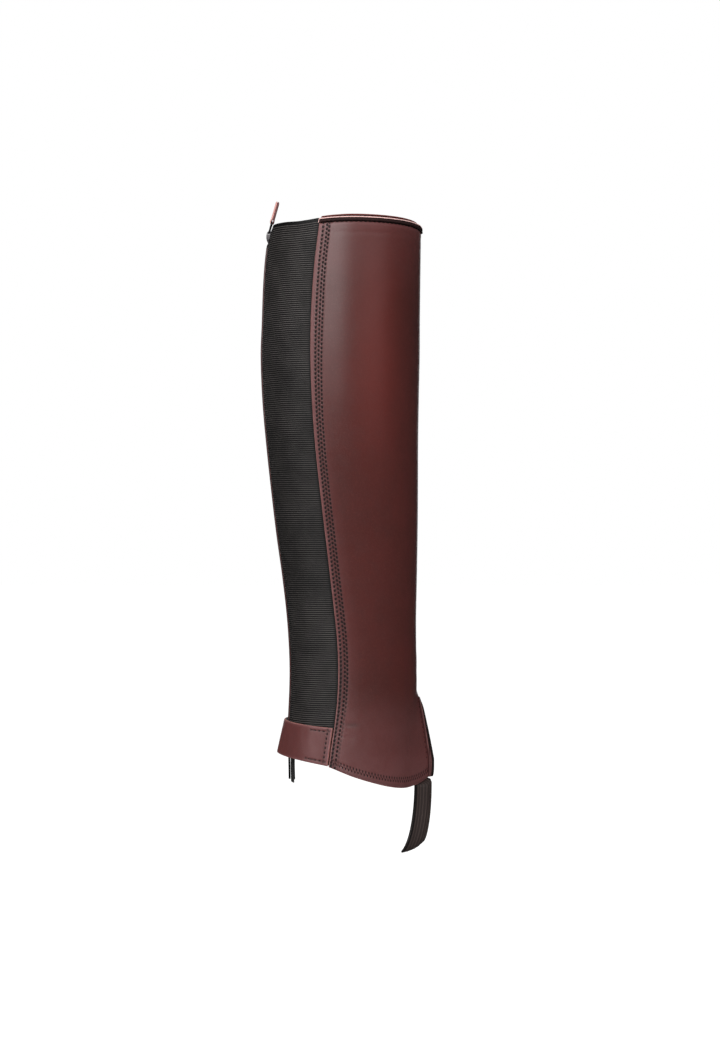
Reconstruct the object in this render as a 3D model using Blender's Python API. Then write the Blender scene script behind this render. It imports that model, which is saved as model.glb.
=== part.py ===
"""A leather half chap: a gaiter that closes round the calf with a zip up its back.

One leather wrap goes round the outer side, the shin and the inner side of the leg. A ribbed elastic
gusset joins it to the zip, a dart brings it out over the instep, a tab closes over the foot of the
zip, and an elastic strap passes under the foot.

The origin is on the leg's axis at the fullest part of the calf. +Z is up the leg, +X is the shin and
-Y is the outer side of the leg. The tables and sizes are in millimetres and degrees, and MM turns them
into metres where a mesh is made.

Every cloth piece is placed by a girth angle, a height and an offset. The girth angle runs from 0 at the
shin to +180 at the zip by the outer side, and to -180 at the zip by the inner side. The offset is
measured outwards from the form, which is the surface that the chap closes round.
"""
import math

import bmesh
import bpy
from mathutils import Matrix, Vector

MM = 0.001

# Thicknesses and gaps
GAP = 0.3                # between pieces that are sewn to each other
ELASTIC = 1.2            # gusset
LEATHER = 2.0            # wrap
TURNED_EDGE = 2.8        # wrap where it is folded back along the zip
FACING = 1.2
BAND = 2.8
BAND_PROUD = 1.0         # how far the band stands out from the wrap
WELT = 1.2
TAPE = 1.0
CHAIN = 1.3
TAB = 1.8
STRAP = 1.5

# Heights and rows
ROW_TOP = 100.0          # rows run from here to ROW_FOOT before they lean
ROW_FOOT = -320.0
SIDE_BLEND = 84.0        # rows above this one lean to follow the rim
HEM_BLEND = -280.0       # and rows below this one to follow the hem
DART_TOP = -259.0        # where the dart starts to open
DART_FOOT = -309.5
DART_REACH = 10.5        # how far the dart brings the front out at its foot
DART_POWER = 0.75        # the front edge is a little hollow
DART_DEEPEST = 1.03      # share of the reach at which the front edge stops going forward
DART_ROWS = (-262.0, -267.0, -273.0)                 # close rows where the dart opens fastest
FACING_SHOWS = 2.1       # the facing stands this far above the band
BAND_HEIGHT = 3.3
FACING_HEIGHT = 18.0
ELASTIC_LOW = 1.2        # the elastic's top edge is this far below the rim
ELASTIC_SHORT = 1.8      # and its foot this far above the tab's
TAPE_TOP = 97.0
TAPE_FOOT = -328.0
CHAIN_TOP = 82.0
CHAIN_FOOT = -314.0

# Distances from the middle of the zip
CHAIN_HALF = 2.8
PANEL_EDGE = 4.5         # the elastic and the leather both stop here
FACING_EDGE = 15.0
TAPE_STEPS = (1.3, 4.5, 7.5, 12.5, 14.0)             # the tape's columns, edge to edge
ZIP_STEPS = (4.5, 5.0, 6.0, 7.5, 9.5, 12.5, 17.0)    # the panels' columns beside the zip

LAP = 9.0                # the leather laps this far over the elastic
LAP_GIRTH = 112.0        # girth of the seam at the rim, where the elastic goes under the leather
CORNER = 5.0             # radius of the leather's corners beside the zip
ELASTIC_CORNER = 3.0
WELT_HALF = (1.2, 2.3)   # half the welt's width, at its top and its foot
WELT_TOP = -263.0
WELT_FOOT = -318.0

# The form: its back and front on the X axis, and half its width across the leg
SECTIONS = (
    # height, back, front, half width
    (104.0, -48.9, 60.8, 53.6),
    (93.0, -51.5, 60.1, 54.0),
    (82.0, -54.1, 59.8, 54.4),
    (57.8, -56.3, 59.5, 55.2),
    (23.1, -57.6, 59.1, 56.0),
    (0.0, -58.4, 59.0, 56.2),
    (-34.7, -57.1, 58.3, 55.6),
    (-69.3, -54.1, 57.8, 53.8),
    (-104.0, -50.4, 57.7, 50.8),
    (-138.6, -46.3, 57.4, 47.4),
    (-173.3, -41.5, 56.8, 44.4),
    (-207.9, -37.8, 56.2, 42.4),
    (-242.6, -36.2, 56.7, 42.0),
    (-277.2, -37.3, 56.5, 43.4),
    (-309.5, -39.4, 56.9, 46.0),
    (-332.0, -39.0, 56.9, 47.4),
)

# The leather's edge beside the elastic, where the two are sewn
SEAM = (
    # height, x
    (104.0, -14.4),
    (93.4, -15.2),
    (64.1, -18.7),
    (30.4, -21.0),
    (-3.4, -21.6),
    (-37.1, -20.5),
    (-59.7, -19.0),
    (-82.0, -17.0),
    (-104.6, -14.5),
    (-127.1, -11.9),
    (-149.7, -9.2),
    (-172.4, -6.6),
    (-195.0, -3.9),
    (-217.6, -1.6),
    (-240.0, -0.7),
    (-262.8, -1.5),
    (-278.7, -3.2),
    (-296.8, -5.8),
    (-316.0, -8.3),
)

# Top of the facing all round, which is the chap's highest edge
RIM = (
    # girth, height
    (-180.0, 92.6),
    (-150.0, 96.0),
    (-112.0, 100.0),
    (-80.0, 102.0),
    (-45.0, 101.7),
    (-18.0, 100.3),
    (0.0, 98.5),
    (18.0, 100.3),
    (45.0, 101.7),
    (80.0, 102.3),
    (100.0, 101.8),
    (112.0, 100.7),
    (120.0, 99.8),
    (130.0, 99.3),
    (145.0, 99.8),
    (180.0, 100.4),
)

# The leather's hem, which dips on both sides of the dart
HEM = (
    # girth, height
    (-180.0, -303.0),
    (-150.0, -305.0),
    (-112.0, -311.5),
    (-88.0, -320.1),
    (-70.0, -325.1),
    (-54.0, -328.5),
    (-36.0, -330.4),
    (-21.0, -329.4),
    (-9.0, -326.4),
    (-3.0, -323.6),
    (0.0, -320.5),
    (3.0, -323.6),
    (9.0, -326.4),
    (21.0, -329.4),
    (36.0, -330.4),
    (54.0, -328.6),
    (70.0, -325.2),
    (88.0, -320.2),
    (107.0, -313.7),
    (118.0, -311.0),
)

# The closure tab, from its sewn end by the seam round the back to its snap
TAB_RUN = (
    # girth, height of its top, height of its foot, offset at its top, offset at its foot
    (100.0, -284.2, -314.0, 1.5, 1.5),
    (118.0, -283.2, -311.4, 1.5, 1.6),
    (140.0, -281.8, -308.8, 2.0, 3.2),
    (165.0, -280.4, -306.6, 3.0, 5.6),
    (182.0, -279.8, -305.6, 3.3, 7.2),
    (204.0, -279.4, -305.0, 3.9, 5.2),
    (219.0, -279.2, -304.6, 4.4, 4.4),
    (226.0, -279.2, -304.5, 4.4, 4.4),
    (248.0, -279.2, -304.4, 4.4, 4.4),
)
TAB_END = 242.0          # girth of the tab's free end, past the zip
TAB_END_RADIUS = 11.0
TAB_SEAM_GAP = 0.9       # groove between the tab and the leather's edge
SNAP_GIRTH = 231.0
SNAP_RADIUS = 6.5
SNAP_DOME = 2.2
STUD_RADIUS = 4.5

# The foot strap
STRAP_REAR = 16.5        # girth of its rear edge where it is sewn in
STRAP_FRONT = 2.8
STRAP_TOP = -308.0
STRAP_LEAVES = -319.0    # it is close to the hem here
STRAP_BEND = -330.0
STRAP_CLEARS = 7.5       # over this far below the hem it comes out from under the leather
STRAP_STANDS_OUT = 6.6
STRAP_LOW = (
    # share of its width from the rear edge, x and height of its lowest point there
    (0.0, 47.5, -382.6),
    (0.33, 53.0, -381.2),
    (0.67, 58.8, -378.5),
    (1.0, 64.4, -373.8),
)
STRAP_ROUND = 0.2        # how round its lowest stretch is, seen from above
STRAP_OPENS = (6.0, 10.0)    # how far each side swings out below the hem, at its rear and front edge
STRAP_GAP = 0.7          # to the leather it is sewn to, which is faceted otherwise

# The zip's hard pieces, measured from the middle of each along the zip and out from the form
SLIDER_HEIGHT = 89.5     # middle of the slider
SLIDER_HALF = 6.6        # half its length
SLIDER_WEB = 0.8         # half the post between the two tapes
SLIDER_PLATE = 1.3
SLIDER_SLACK = 0.5       # under the tapes, which curve a little inside the slider
SLIDER_EDGE = 0.4        # bevel
SLIDER_PLAN = (
    # share of the half length, half width
    (-1.0, 2.9),
    (-0.86, 3.3),
    (-0.2, 3.5),
    (0.5, 4.0),
    (0.86, 3.7),
    (1.0, 3.1),
)
CROWN_HALF = 1.2
CROWN = (
    # up, out
    (-4.6, 1.0),
    (-3.6, 2.2),
    (-1.2, 3.7),
    (1.4, 4.3),
    (3.6, 4.3),
    (4.9, 3.5),
    (5.3, 2.4),
    (5.3, 1.0),
)
PIVOT_UP = 3.2           # the pull's pivot, above the slider's middle
PIVOT_OUT = 2.8          # and out from the form
PIVOT_HOLE = 0.95
ZIP_FOOT_HEIGHT = -321.5
ZIP_FOOT_THICK = 1.4
ZIP_FOOT_EDGE = 0.5
ZIP_FOOT_PLAN = (
    # up, half width
    (-4.6, 2.4),
    (-4.2, 2.8),
    (4.2, 2.8),
    (4.6, 2.4),
)

# The pull, measured from its pivot
WIRE = 0.6               # radius of its wire
PULL_LEAN = 16.0         # it leans in over the top edge by this much
LINK_FOOT = 2.3          # half the link's width at its pivot bar
LINK_HEAD = 4.6          # and at the bar that the leather hangs on
LINK_LENGTH = 9.0
LINK_BEVEL = 1.0
PULL_HALF = 3.1          # half the leather pull's width
PULL_THICK = 2.6
PULL_SKIN = 1.15         # one layer of the leather, round the link's bar
PULL_SHOULDER = (1.4, 4.2)    # past the bar, where the two layers close up
PULL_LENGTH = 25.2       # from the pivot to its free end

# Colours, roughness and metallic value
FINISHES = {
    "leather": ((0.100, 0.027, 0.024), 0.42, 0.0),
    "leather_edge": ((0.045, 0.016, 0.014), 0.50, 0.0),
    "elastic": ((0.018, 0.016, 0.016), 0.85, 0.0),
    "tape": ((0.012, 0.011, 0.011), 0.80, 0.0),
    "metal": ((0.62, 0.61, 0.58), 0.28, 1.0),
}


def clear_scene():
    for thing in list(bpy.data.objects):
        bpy.data.objects.remove(thing, do_unlink=True)


def material(finish):
    """The Principled material of one finish."""
    found = bpy.data.materials.get(finish)
    if found:
        return found
    colour, roughness, metallic = FINISHES[finish]
    made = bpy.data.materials.new(finish)
    made.use_nodes = True
    shader = made.node_tree.nodes["Principled BSDF"]
    shader.inputs["Base Color"].default_value = (*colour, 1.0)
    shader.inputs["Roughness"].default_value = roughness
    shader.inputs["Metallic"].default_value = metallic
    return made


def mix(start, end, share):
    return start + (end - start) * share


def ease(share):
    """0 to 1 with level ends."""
    share = min(1.0, max(0.0, share))
    return share * share * (3.0 - 2.0 * share)


def read(table, at, column=1):
    """A smooth curve through one column of a table, read at a value of its first column."""
    rows = sorted(table)
    at = min(max(at, rows[0][0]), rows[-1][0])
    low = max(i for i in range(len(rows) - 1) if rows[i][0] <= at)
    high = low + 1

    def slope(i):
        before = rows[max(i - 1, 0)]
        after = rows[min(i + 1, len(rows) - 1)]
        return (after[column] - before[column]) / (after[0] - before[0])

    step = rows[high][0] - rows[low][0]
    t = (at - rows[low][0]) / step
    return (rows[low][column] * (1 + 2 * t) * (1 - t) ** 2
            + rows[high][column] * t * t * (3 - 2 * t)
            + slope(low) * step * t * (1 - t) ** 2
            + slope(high) * step * t * t * (t - 1))


# ---------------------------------------------------------------- the form

def half_width(height):
    return read(SECTIONS, height, 3)


def ring(girth, height):
    """The form's point at a girth angle and height, as x and y."""
    back = read(SECTIONS, height, 1)
    front = read(SECTIONS, height, 2)
    middle = (front + back) / 2
    half_depth = (front - back) / 2
    angle = math.radians(girth)
    across = math.sin(angle)
    along = math.cos(angle)
    depth = (DART_TOP - height) / (DART_TOP - DART_FOOT)
    if depth > 0 and along > 0:
        # the dart's two flat sides run from its ridge to where they touch the ellipse
        ridge = 1 + DART_REACH * min(depth, DART_DEEPEST) ** DART_POWER / half_depth
        touch = math.acos(1 / ridge)
        if abs(across) < math.sin(touch):
            along = ridge - abs(across) / math.sin(touch) * (ridge - math.cos(touch))
    return Vector((middle + half_depth * along, -half_width(height) * across))


def place(girth, height, offset):
    """A point in millimetres at an offset outwards from the form, mitred at the dart's ridge."""
    step = 0.2
    here = ring(girth, height)
    ahead = (ring(girth + step, height) - here).normalized()
    behind = (here - ring(girth - step, height)).normalized()
    side_a = Vector((-ahead.y, ahead.x))
    side_b = Vector((-behind.y, behind.x))
    out = (side_a + side_b).normalized()
    reach = offset / max(0.5, out.dot(side_a))
    return Vector((here.x + out.x * reach, here.y + out.y * reach, height))


def girth_of_x(x, height, offset):
    """The girth angle on the outer side where the form, moved out, has this x."""
    back = read(SECTIONS, height, 1) - offset
    front = read(SECTIONS, height, 2) + offset
    return math.degrees(math.acos((x - (front + back) / 2) / ((front - back) / 2)))


def degrees_for(length, height):
    """The girth angle that a length round the back or the side takes."""
    return math.degrees(length / half_width(height))


def seam_girth(height):
    return girth_of_x(read(SEAM, height), height, ELASTIC + GAP + LEATHER)


def wrap_inside(girth):
    """Offset of the leather's inner face: over the elastic at the seam, on the form at the zip."""
    return mix(ELASTIC + GAP, 0.0, ease((75.0 - girth) / 150.0))


def wrap_outside(girth):
    thick = mix(LEATHER, TURNED_EDGE, ease((-girth - 160.0) / 8.0))
    return wrap_inside(girth) + thick


def corner_drop(distance, radius=CORNER):
    """How far a rounded corner takes an edge in, at this distance from the end."""
    if distance >= radius:
        return 0.0
    return radius - math.sqrt(radius ** 2 - (radius - max(distance, 0.0)) ** 2)


# ---------------------------------------------------------------- making solids

def finish_object(name, mesh_maker, finish, sharp=35.0):
    """One named object from a bmesh whose points are in millimetres."""
    bmesh.ops.recalc_face_normals(mesh_maker, faces=mesh_maker.faces)
    bmesh.ops.scale(mesh_maker, vec=(MM, MM, MM), verts=mesh_maker.verts)
    mesh = bpy.data.meshes.new(name)
    mesh_maker.to_mesh(mesh)
    mesh_maker.free()
    mesh.materials.append(material(finish))
    mesh.shade_smooth()
    mesh.set_sharp_from_angle(angle=math.radians(sharp))
    thing = bpy.data.objects.new(name, mesh)
    bpy.context.scene.collection.objects.link(thing)
    return thing


def wall(name, inner, outer, finish):
    """A closed wall between two grids of points with the same rows and columns."""
    made = bmesh.new()
    grids = [[[made.verts.new(point) for point in row] for row in grid] for grid in (inner, outer)]
    rows, columns = len(inner), len(inner[0])
    for grid in grids:
        for r in range(rows - 1):
            for c in range(columns - 1):
                made.faces.new((grid[r][c], grid[r][c + 1], grid[r + 1][c + 1], grid[r + 1][c]))
    border = [(0, c) for c in range(columns)]
    border += [(r, columns - 1) for r in range(1, rows)]
    border += [(rows - 1, c) for c in range(columns - 2, -1, -1)]
    border += [(r, 0) for r in range(rows - 2, 0, -1)]
    a, b = grids
    for (r, c), (r2, c2) in zip(border, border[1:] + border[:1]):
        made.faces.new((a[r][c], a[r2][c2], b[r2][c2], b[r][c]))
    return finish_object(name, made, finish)


def cloth(name, spots, inside, outside, finish):
    """A wall over a grid of (girth, height) spots, between two offsets of girth and height."""
    inner = [[place(g, h, inside(g, h)) for g, h in row] for row in spots]
    outer = [[place(g, h, outside(g, h)) for g, h in row] for row in spots]
    return wall(name, inner, outer, finish)


def loft(name, sections, finish, frame):
    """A closed solid through sections of equal point counts, placed by a frame matrix."""
    made = bmesh.new()
    loops = [[made.verts.new(frame @ Vector(point)) for point in section] for section in sections]
    for low, high in zip(loops, loops[1:]):
        for i in range(len(low)):
            j = (i + 1) % len(low)
            made.faces.new((low[i], low[j], high[j], high[i]))
    made.faces.new(loops[0])
    made.faces.new(loops[-1])
    return finish_object(name, made, finish)


def boolean(target, tool, operation):
    """Cut or join a tool, then drop it."""
    step = target.modifiers.new(operation.lower(), "BOOLEAN")
    step.operation = operation
    step.solver = "EXACT"
    step.object = tool
    bpy.context.view_layer.update()
    graph = bpy.context.evaluated_depsgraph_get()
    shape = bpy.data.meshes.new_from_object(target.evaluated_get(graph))
    target.modifiers.clear()
    target.data = shape
    bpy.data.objects.remove(tool, do_unlink=True)


def levels(*stops):
    """Heights from stop to stop, each stop given as (height, steps down to the next)."""
    made = []
    for (top, steps), (foot, _) in zip(stops, stops[1:]):
        made += [mix(top, foot, i / steps) for i in range(steps)]
    return made + [stops[-1][0]]


# ---------------------------------------------------------------- cloth and leather pieces

WRAP_ROWS = levels((ROW_TOP, 2), (SIDE_BLEND, 13), (DART_TOP, 1), *((row, 1) for row in DART_ROWS),
                   (HEM_BLEND, 5), (ROW_FOOT, 0))


def lean(level, top, foot):
    """A row's height where the piece's own top and foot are not level."""
    if level > SIDE_BLEND:
        return mix(SIDE_BLEND, top, (level - SIDE_BLEND) / (ROW_TOP - SIDE_BLEND))
    if level < HEM_BLEND:
        return mix(HEM_BLEND, foot, (HEM_BLEND - level) / (HEM_BLEND - ROW_FOOT))
    return level


def wrap_columns(level, zip_steps=ZIP_STEPS):
    """Girth angles across the leather: seam, shin, inner side, zip."""
    seam = seam_girth(level)
    lap = degrees_for(LAP, level)
    angles = [seam, seam - lap * 0.5, seam - lap]
    angles += [mix(seam - lap, 0.0, i / 12) for i in range(1, 13)]
    last = -180.0 + degrees_for(zip_steps[-1], level)
    angles += [mix(0.0, last, i / 16) for i in range(1, 17)]
    angles += [-180.0 + degrees_for(step, level) for step in reversed(zip_steps[:-1])]
    return angles


def from_zip(girth, height):
    """Distance from the middle of the zip, in millimetres."""
    return math.radians(180.0 - abs(girth)) * half_width(height)


def band_top(girth):
    return read(RIM, girth) - FACING_SHOWS


def band_foot(girth):
    return band_top(girth) - BAND_HEIGHT


def main_panel():
    spots = []
    for level in WRAP_ROWS:
        row = []
        for girth in wrap_columns(level):
            drop = corner_drop(from_zip(girth, level) - PANEL_EDGE) if girth < 0 else 0.0
            top = band_foot(girth) - GAP - drop
            foot = read(HEM, girth) + drop
            row.append((girth, lean(level, top, foot)))
        spots.append(row)
    return cloth("main_panel", spots, lambda g, h: wrap_inside(g), lambda g, h: wrap_outside(g),
                 "leather")


def rim_band():
    """The folded band round the leather's top edge."""
    columns = wrap_columns(ROW_TOP)
    spots = [[(g, mix(band_top(g), band_foot(g), share)) for g in columns] for share in (0.0, 0.5, 1.0)]
    return cloth("rim_band", spots,
                 lambda g, h: wrap_outside(g) + BAND_PROUD - BAND,
                 lambda g, h: wrap_outside(g) + BAND_PROUD, "leather_edge")


def facing_outside(girth, seam, lap):
    """Under the elastic where the two lap, then against the leather."""
    return mix(-GAP, wrap_inside(girth) - GAP, ease((seam - lap - 2.0 - girth) / 10.0))


def rim_facing():
    """The strip sewn inside the top edge."""
    seam = seam_girth(ROW_TOP)
    lap = degrees_for(LAP, ROW_TOP)
    columns = wrap_columns(ROW_TOP, (FACING_EDGE, 17.0))
    shares = (0.0, 0.33, 0.66, 1.0)
    spots = [[(g, read(RIM, g) - FACING_HEIGHT * share) for g in columns] for share in shares]
    return cloth("rim_facing", spots,
                 lambda g, h: facing_outside(g, seam, lap) - FACING,
                 lambda g, h: facing_outside(g, seam, lap), "leather_edge")


def elastic_panel():
    """The gusset, from the zip to its edge under the leather."""
    spots = []
    for level in WRAP_ROWS:
        seam = seam_girth(level)
        lap = degrees_for(LAP, level)
        columns = [180.0 - degrees_for(step, level) for step in ZIP_STEPS]
        first = columns[-1]
        columns += [mix(first, seam, i / 6) for i in range(1, 7)]
        columns += [seam - lap * 0.5, seam - lap * 0.97]
        row = []
        for girth in columns:
            drop = corner_drop(from_zip(girth, level) - PANEL_EDGE, ELASTIC_CORNER)
            under = ease((seam - girth) / lap) * (BAND_HEIGHT + FACING_SHOWS)
            top = read(RIM, max(girth, LAP_GIRTH)) - ELASTIC_LOW - under - drop
            row.append((girth, lean(level, top, read(TAB_RUN, girth, 2) + ELASTIC_SHORT)))
        spots.append(row)
    return cloth("elastic_panel", spots, lambda g, h: 0.0, lambda g, h: ELASTIC, "elastic")


def zip_tape(name, side):
    """One half of the zip's tape: side is +1 by the elastic and -1 by the leather."""
    rows = levels((TAPE_TOP, 2), (SIDE_BLEND, 13), (DART_TOP, 2), (HEM_BLEND, 4), (TAPE_FOOT, 0))
    spots = [[(side * (180.0 - degrees_for(w, h)), h) for w in TAPE_STEPS] for h in rows]
    return cloth(name, spots, lambda g, h: -GAP - TAPE, lambda g, h: -GAP, "tape")


def zip_chain():
    """The closed teeth, as a plain strip over both tapes."""
    rows = levels((CHAIN_TOP, 13), (DART_TOP, 2), (HEM_BLEND, 3), (CHAIN_FOOT, 0))
    across = (-CHAIN_HALF, 0.0, CHAIN_HALF)
    spots = [[(180.0 + degrees_for(w, h), h) for w in across] for h in rows]
    return cloth("zip_chain", spots, lambda g, h: 0.0, lambda g, h: CHAIN, "tape")


def dart_welt():
    """A narrow leather strip that caps the dart's ridge, wider towards the hem."""
    spots = []
    for height in levels((WELT_TOP, 4), (HEM_BLEND, 5), (WELT_FOOT, 0)):
        half = mix(*WELT_HALF, (DART_TOP - height) / (DART_TOP - DART_FOOT))
        edge = degrees_for(half, height)
        spots.append([(g, height) for g in (edge, edge * 0.45, 0.0, -edge * 0.45, -edge)])
    return cloth("dart_welt", spots,
                 lambda g, h: wrap_outside(g) + GAP,
                 lambda g, h: wrap_outside(g) + GAP + WELT, "leather_edge")


def hem_tab():
    """The closure tab, standing off the zip and coming back to its snap on the inner side."""
    radius = degrees_for(TAB_END_RADIUS, TAB_RUN[0][1])
    spots = []
    for share in (0.0, 0.34, 0.67, 1.0):
        level = mix(TAB_RUN[0][1], TAB_RUN[0][2], share)
        start = seam_girth(level) + degrees_for(TAB_SEAM_GAP, level)
        columns = [mix(start, TAB_END - radius, i / 15) for i in range(16)]
        columns += [TAB_END - radius * part for part in (0.66, 0.38, 0.17, 0.04, 0.0)]
        row = []
        for girth in columns:
            top = read(TAB_RUN, girth, 1)
            foot = read(TAB_RUN, girth, 2)
            distance = math.radians(TAB_END - girth) * half_width(top)
            drop = corner_drop(distance, TAB_END_RADIUS)
            row.append((girth, mix(top - drop, foot + drop, share)))
        spots.append(row)

    def inside(girth, height):
        top = read(TAB_RUN, girth, 1)
        foot = read(TAB_RUN, girth, 2)
        share = (top - height) / (top - foot)
        return mix(read(TAB_RUN, girth, 3), read(TAB_RUN, girth, 4), share)

    return cloth("hem_tab", spots, inside, lambda g, h: inside(g, h) + TAB, "leather")


# ---------------------------------------------------------------- hard pieces

def frame_at(girth, height, offset, rise=6.0):
    """A frame on the form: X along the girth to the outer side, Y up, Z outwards."""
    origin = place(girth, height, offset)
    up = (place(girth, height + rise, offset) - place(girth, height - rise, offset)).normalized()
    along = (place(girth - 1.0, height, offset) - place(girth + 1.0, height, offset))
    out = along.cross(up).normalized()
    if out.dot(place(girth, height, offset + 1.0) - origin) < 0:
        out = -out
    across = up.cross(out)
    axes = Matrix((across, up, out)).transposed().to_4x4()
    return Matrix.Translation(origin) @ axes


def rounds(count):
    """Angles evenly round a circle."""
    return [2 * math.pi * i / count for i in range(count)]


def disc(name, girth, height, profile, finish, sides=20):
    """A round piece on the cloth, turned from (radius, offset) pairs."""
    frame = frame_at(girth, height, 0.0)
    sections = []
    for radius, offset in profile:
        sections.append([(radius * math.cos(t), radius * math.sin(t), offset) for t in rounds(sides)])
    return loft(name, sections, finish, frame)


def snap():
    """The snap that holds the tab's free end: a stud on the leather and a cap on the tab."""
    height = (read(TAB_RUN, SNAP_GIRTH, 1) + read(TAB_RUN, SNAP_GIRTH, 2)) / 2
    tab_inside = (read(TAB_RUN, SNAP_GIRTH, 3) + read(TAB_RUN, SNAP_GIRTH, 4)) / 2
    sag = SNAP_RADIUS ** 2 / (2 * half_width(height))
    base = tab_inside + TAB + GAP
    cap = [(SNAP_RADIUS, base), (SNAP_RADIUS, base + 0.7)]
    for step in (30.0, 55.0, 78.0):
        angle = math.radians(step)
        cap.append((SNAP_RADIUS * math.cos(angle), base + 0.7 + (SNAP_DOME - 0.7) * math.sin(angle)))
    disc("snap_cap", SNAP_GIRTH, height, cap, "metal")
    leather = wrap_outside(SNAP_GIRTH - 360.0)
    stud = [(STUD_RADIUS, leather + GAP), (STUD_RADIUS, tab_inside - GAP - sag)]
    disc("snap_stud", SNAP_GIRTH, height, stud, "metal", 16)


def drill(target, name, radius, middle, half, frame):
    """Cut a round hole across a piece, at a (y, z) middle in the frame, past half its width."""
    sections = []
    for x in (-half - 1.0, half + 1.0):
        sections.append([(x, middle[0] + radius * math.cos(t), middle[1] + radius * math.sin(t))
                         for t in rounds(12)])
    boolean(target, loft(name, sections, "metal", frame), "DIFFERENCE")


def refinish(thing, finish, sharp=35.0):
    """One material and smooth shading again, after a boolean."""
    thing.data.materials.clear()
    thing.data.materials.append(material(finish))
    thing.data.shade_smooth()
    thing.data.set_sharp_from_angle(angle=math.radians(sharp))


def zip_slider(frame):
    """The slider: two plates on a post between the tapes, with a crown for the pull."""
    slot = -GAP - TAPE - SLIDER_SLACK
    inner = (slot - SLIDER_PLATE, slot)
    outer = (0.0, SLIDER_PLATE)
    sections = []
    edge = SLIDER_EDGE
    for up, half in SLIDER_PLAN:
        y = up * SLIDER_HALF
        sections.append([
            (-half + edge, y, inner[0]), (half - edge, y, inner[0]), (half, y, inner[0] + edge),
            (half, y, inner[1]), (SLIDER_WEB, y, inner[1]), (SLIDER_WEB, y, outer[0]),
            (half, y, outer[0]), (half, y, outer[1] - edge), (half - edge, y, outer[1]),
            (-half + edge, y, outer[1]), (-half, y, outer[1] - edge), (-half, y, outer[0]),
            (-SLIDER_WEB, y, outer[0]), (-SLIDER_WEB, y, inner[1]), (-half, y, inner[1]),
            (-half, y, inner[0] + edge),
        ])
    slider = loft("zip_slider", sections, "metal", frame)
    arch = [[(x, up, out) for up, out in CROWN] for x in (-CROWN_HALF, CROWN_HALF)]
    boolean(slider, loft("crown", arch, "metal", frame), "UNION")
    drill(slider, "pivot_hole", PIVOT_HOLE, (PIVOT_UP, PIVOT_OUT), CROWN_HALF, frame)
    refinish(slider, "metal")


def bent_wire(name, route, radius, finish, frame, sides=8):
    """A closed ring of wire through a loop of corners that lie in the frame's XY plane, mitred
    at each corner."""
    corners = [Vector((x, y, 0.0)) for x, y in route]
    sections = []
    for i, here in enumerate(corners):
        arrives = (here - corners[i - 1]).normalized()
        leaves = (corners[(i + 1) % len(corners)] - here).normalized()
        way = (arrives + leaves).normalized()
        side = Vector((way.y, -way.x, 0.0)) * radius / way.dot(arrives)
        lift = Vector((0.0, 0.0, radius))
        sections.append([frame @ (here + side * math.cos(t) + lift * math.sin(t))
                         for t in rounds(sides)])
    made = bmesh.new()
    loops = [[made.verts.new(point) for point in section] for section in sections]
    for low, high in zip(loops, loops[1:] + loops[:1]):
        for i in range(sides):
            j = (i + 1) % sides
            made.faces.new((low[i], low[j], high[j], high[i]))
    return finish_object(name, made, finish)


def pull_link(frame):
    """The wire link between the slider's crown and the leather pull."""
    half = [(LINK_FOOT - LINK_BEVEL, 0.0), (LINK_FOOT, LINK_BEVEL),
            (LINK_HEAD, LINK_LENGTH - LINK_BEVEL), (LINK_HEAD - LINK_BEVEL, LINK_LENGTH)]
    route = half + [(-x, y) for x, y in reversed(half)]
    return bent_wire("pull_link", route, WIRE, "metal", frame)


def pull_tab(frame):
    """A strip of leather folded round the link's head bar, cut square at its free end."""
    loop = WIRE + GAP
    bend = loop + PULL_SKIN
    half = PULL_THICK / 2
    opens, closed = PULL_SHOULDER
    outline = []
    for i in range(7):
        angle = math.radians(180.0 + 180.0 * i / 6)
        outline.append((LINK_LENGTH + bend * math.sin(angle), bend * math.cos(angle)))
    outline += [(LINK_LENGTH + opens, bend - 0.1), (LINK_LENGTH + closed, half), (PULL_LENGTH, half),
                (PULL_LENGTH, -half), (LINK_LENGTH + closed, -half), (LINK_LENGTH + opens, 0.1 - bend)]
    sections = [[(x, y, z) for y, z in outline] for x in (-PULL_HALF, PULL_HALF)]
    pull = loft("pull_tab", sections, "leather", frame)
    drill(pull, "pull_eye", loop * 1.04, (LINK_LENGTH, 0.0), PULL_HALF, frame)
    refinish(pull, "leather")


def zip_foot():
    """The pin and its box at the foot of the zip, clamped over both tapes' inner edges."""
    frame = frame_at(180.0, ZIP_FOOT_HEIGHT, 0.0)
    thick, edge = ZIP_FOOT_THICK, ZIP_FOOT_EDGE
    sections = []
    for y, half in ZIP_FOOT_PLAN:
        sections.append([(-half, y, 0.0), (half, y, 0.0), (half, y, thick - edge),
                         (half - edge, y, thick), (-half + edge, y, thick), (-half, y, thick - edge)])
    return loft("zip_foot", sections, "metal", frame)


# ---------------------------------------------------------------- the foot strap

def sewn_point(share, height, side):
    """A point of the strap's middle surface where it is sewn inside the leather, and where it comes
    out from under the hem; side is the sign of its girth angle."""
    girth = side * mix(STRAP_REAR, STRAP_FRONT, share)
    clear = ease((read(HEM, girth) - height) / STRAP_CLEARS)
    return place(girth, height, wrap_inside(girth) - STRAP_GAP - STRAP / 2 + STRAP_STANDS_OUT * clear)


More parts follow.
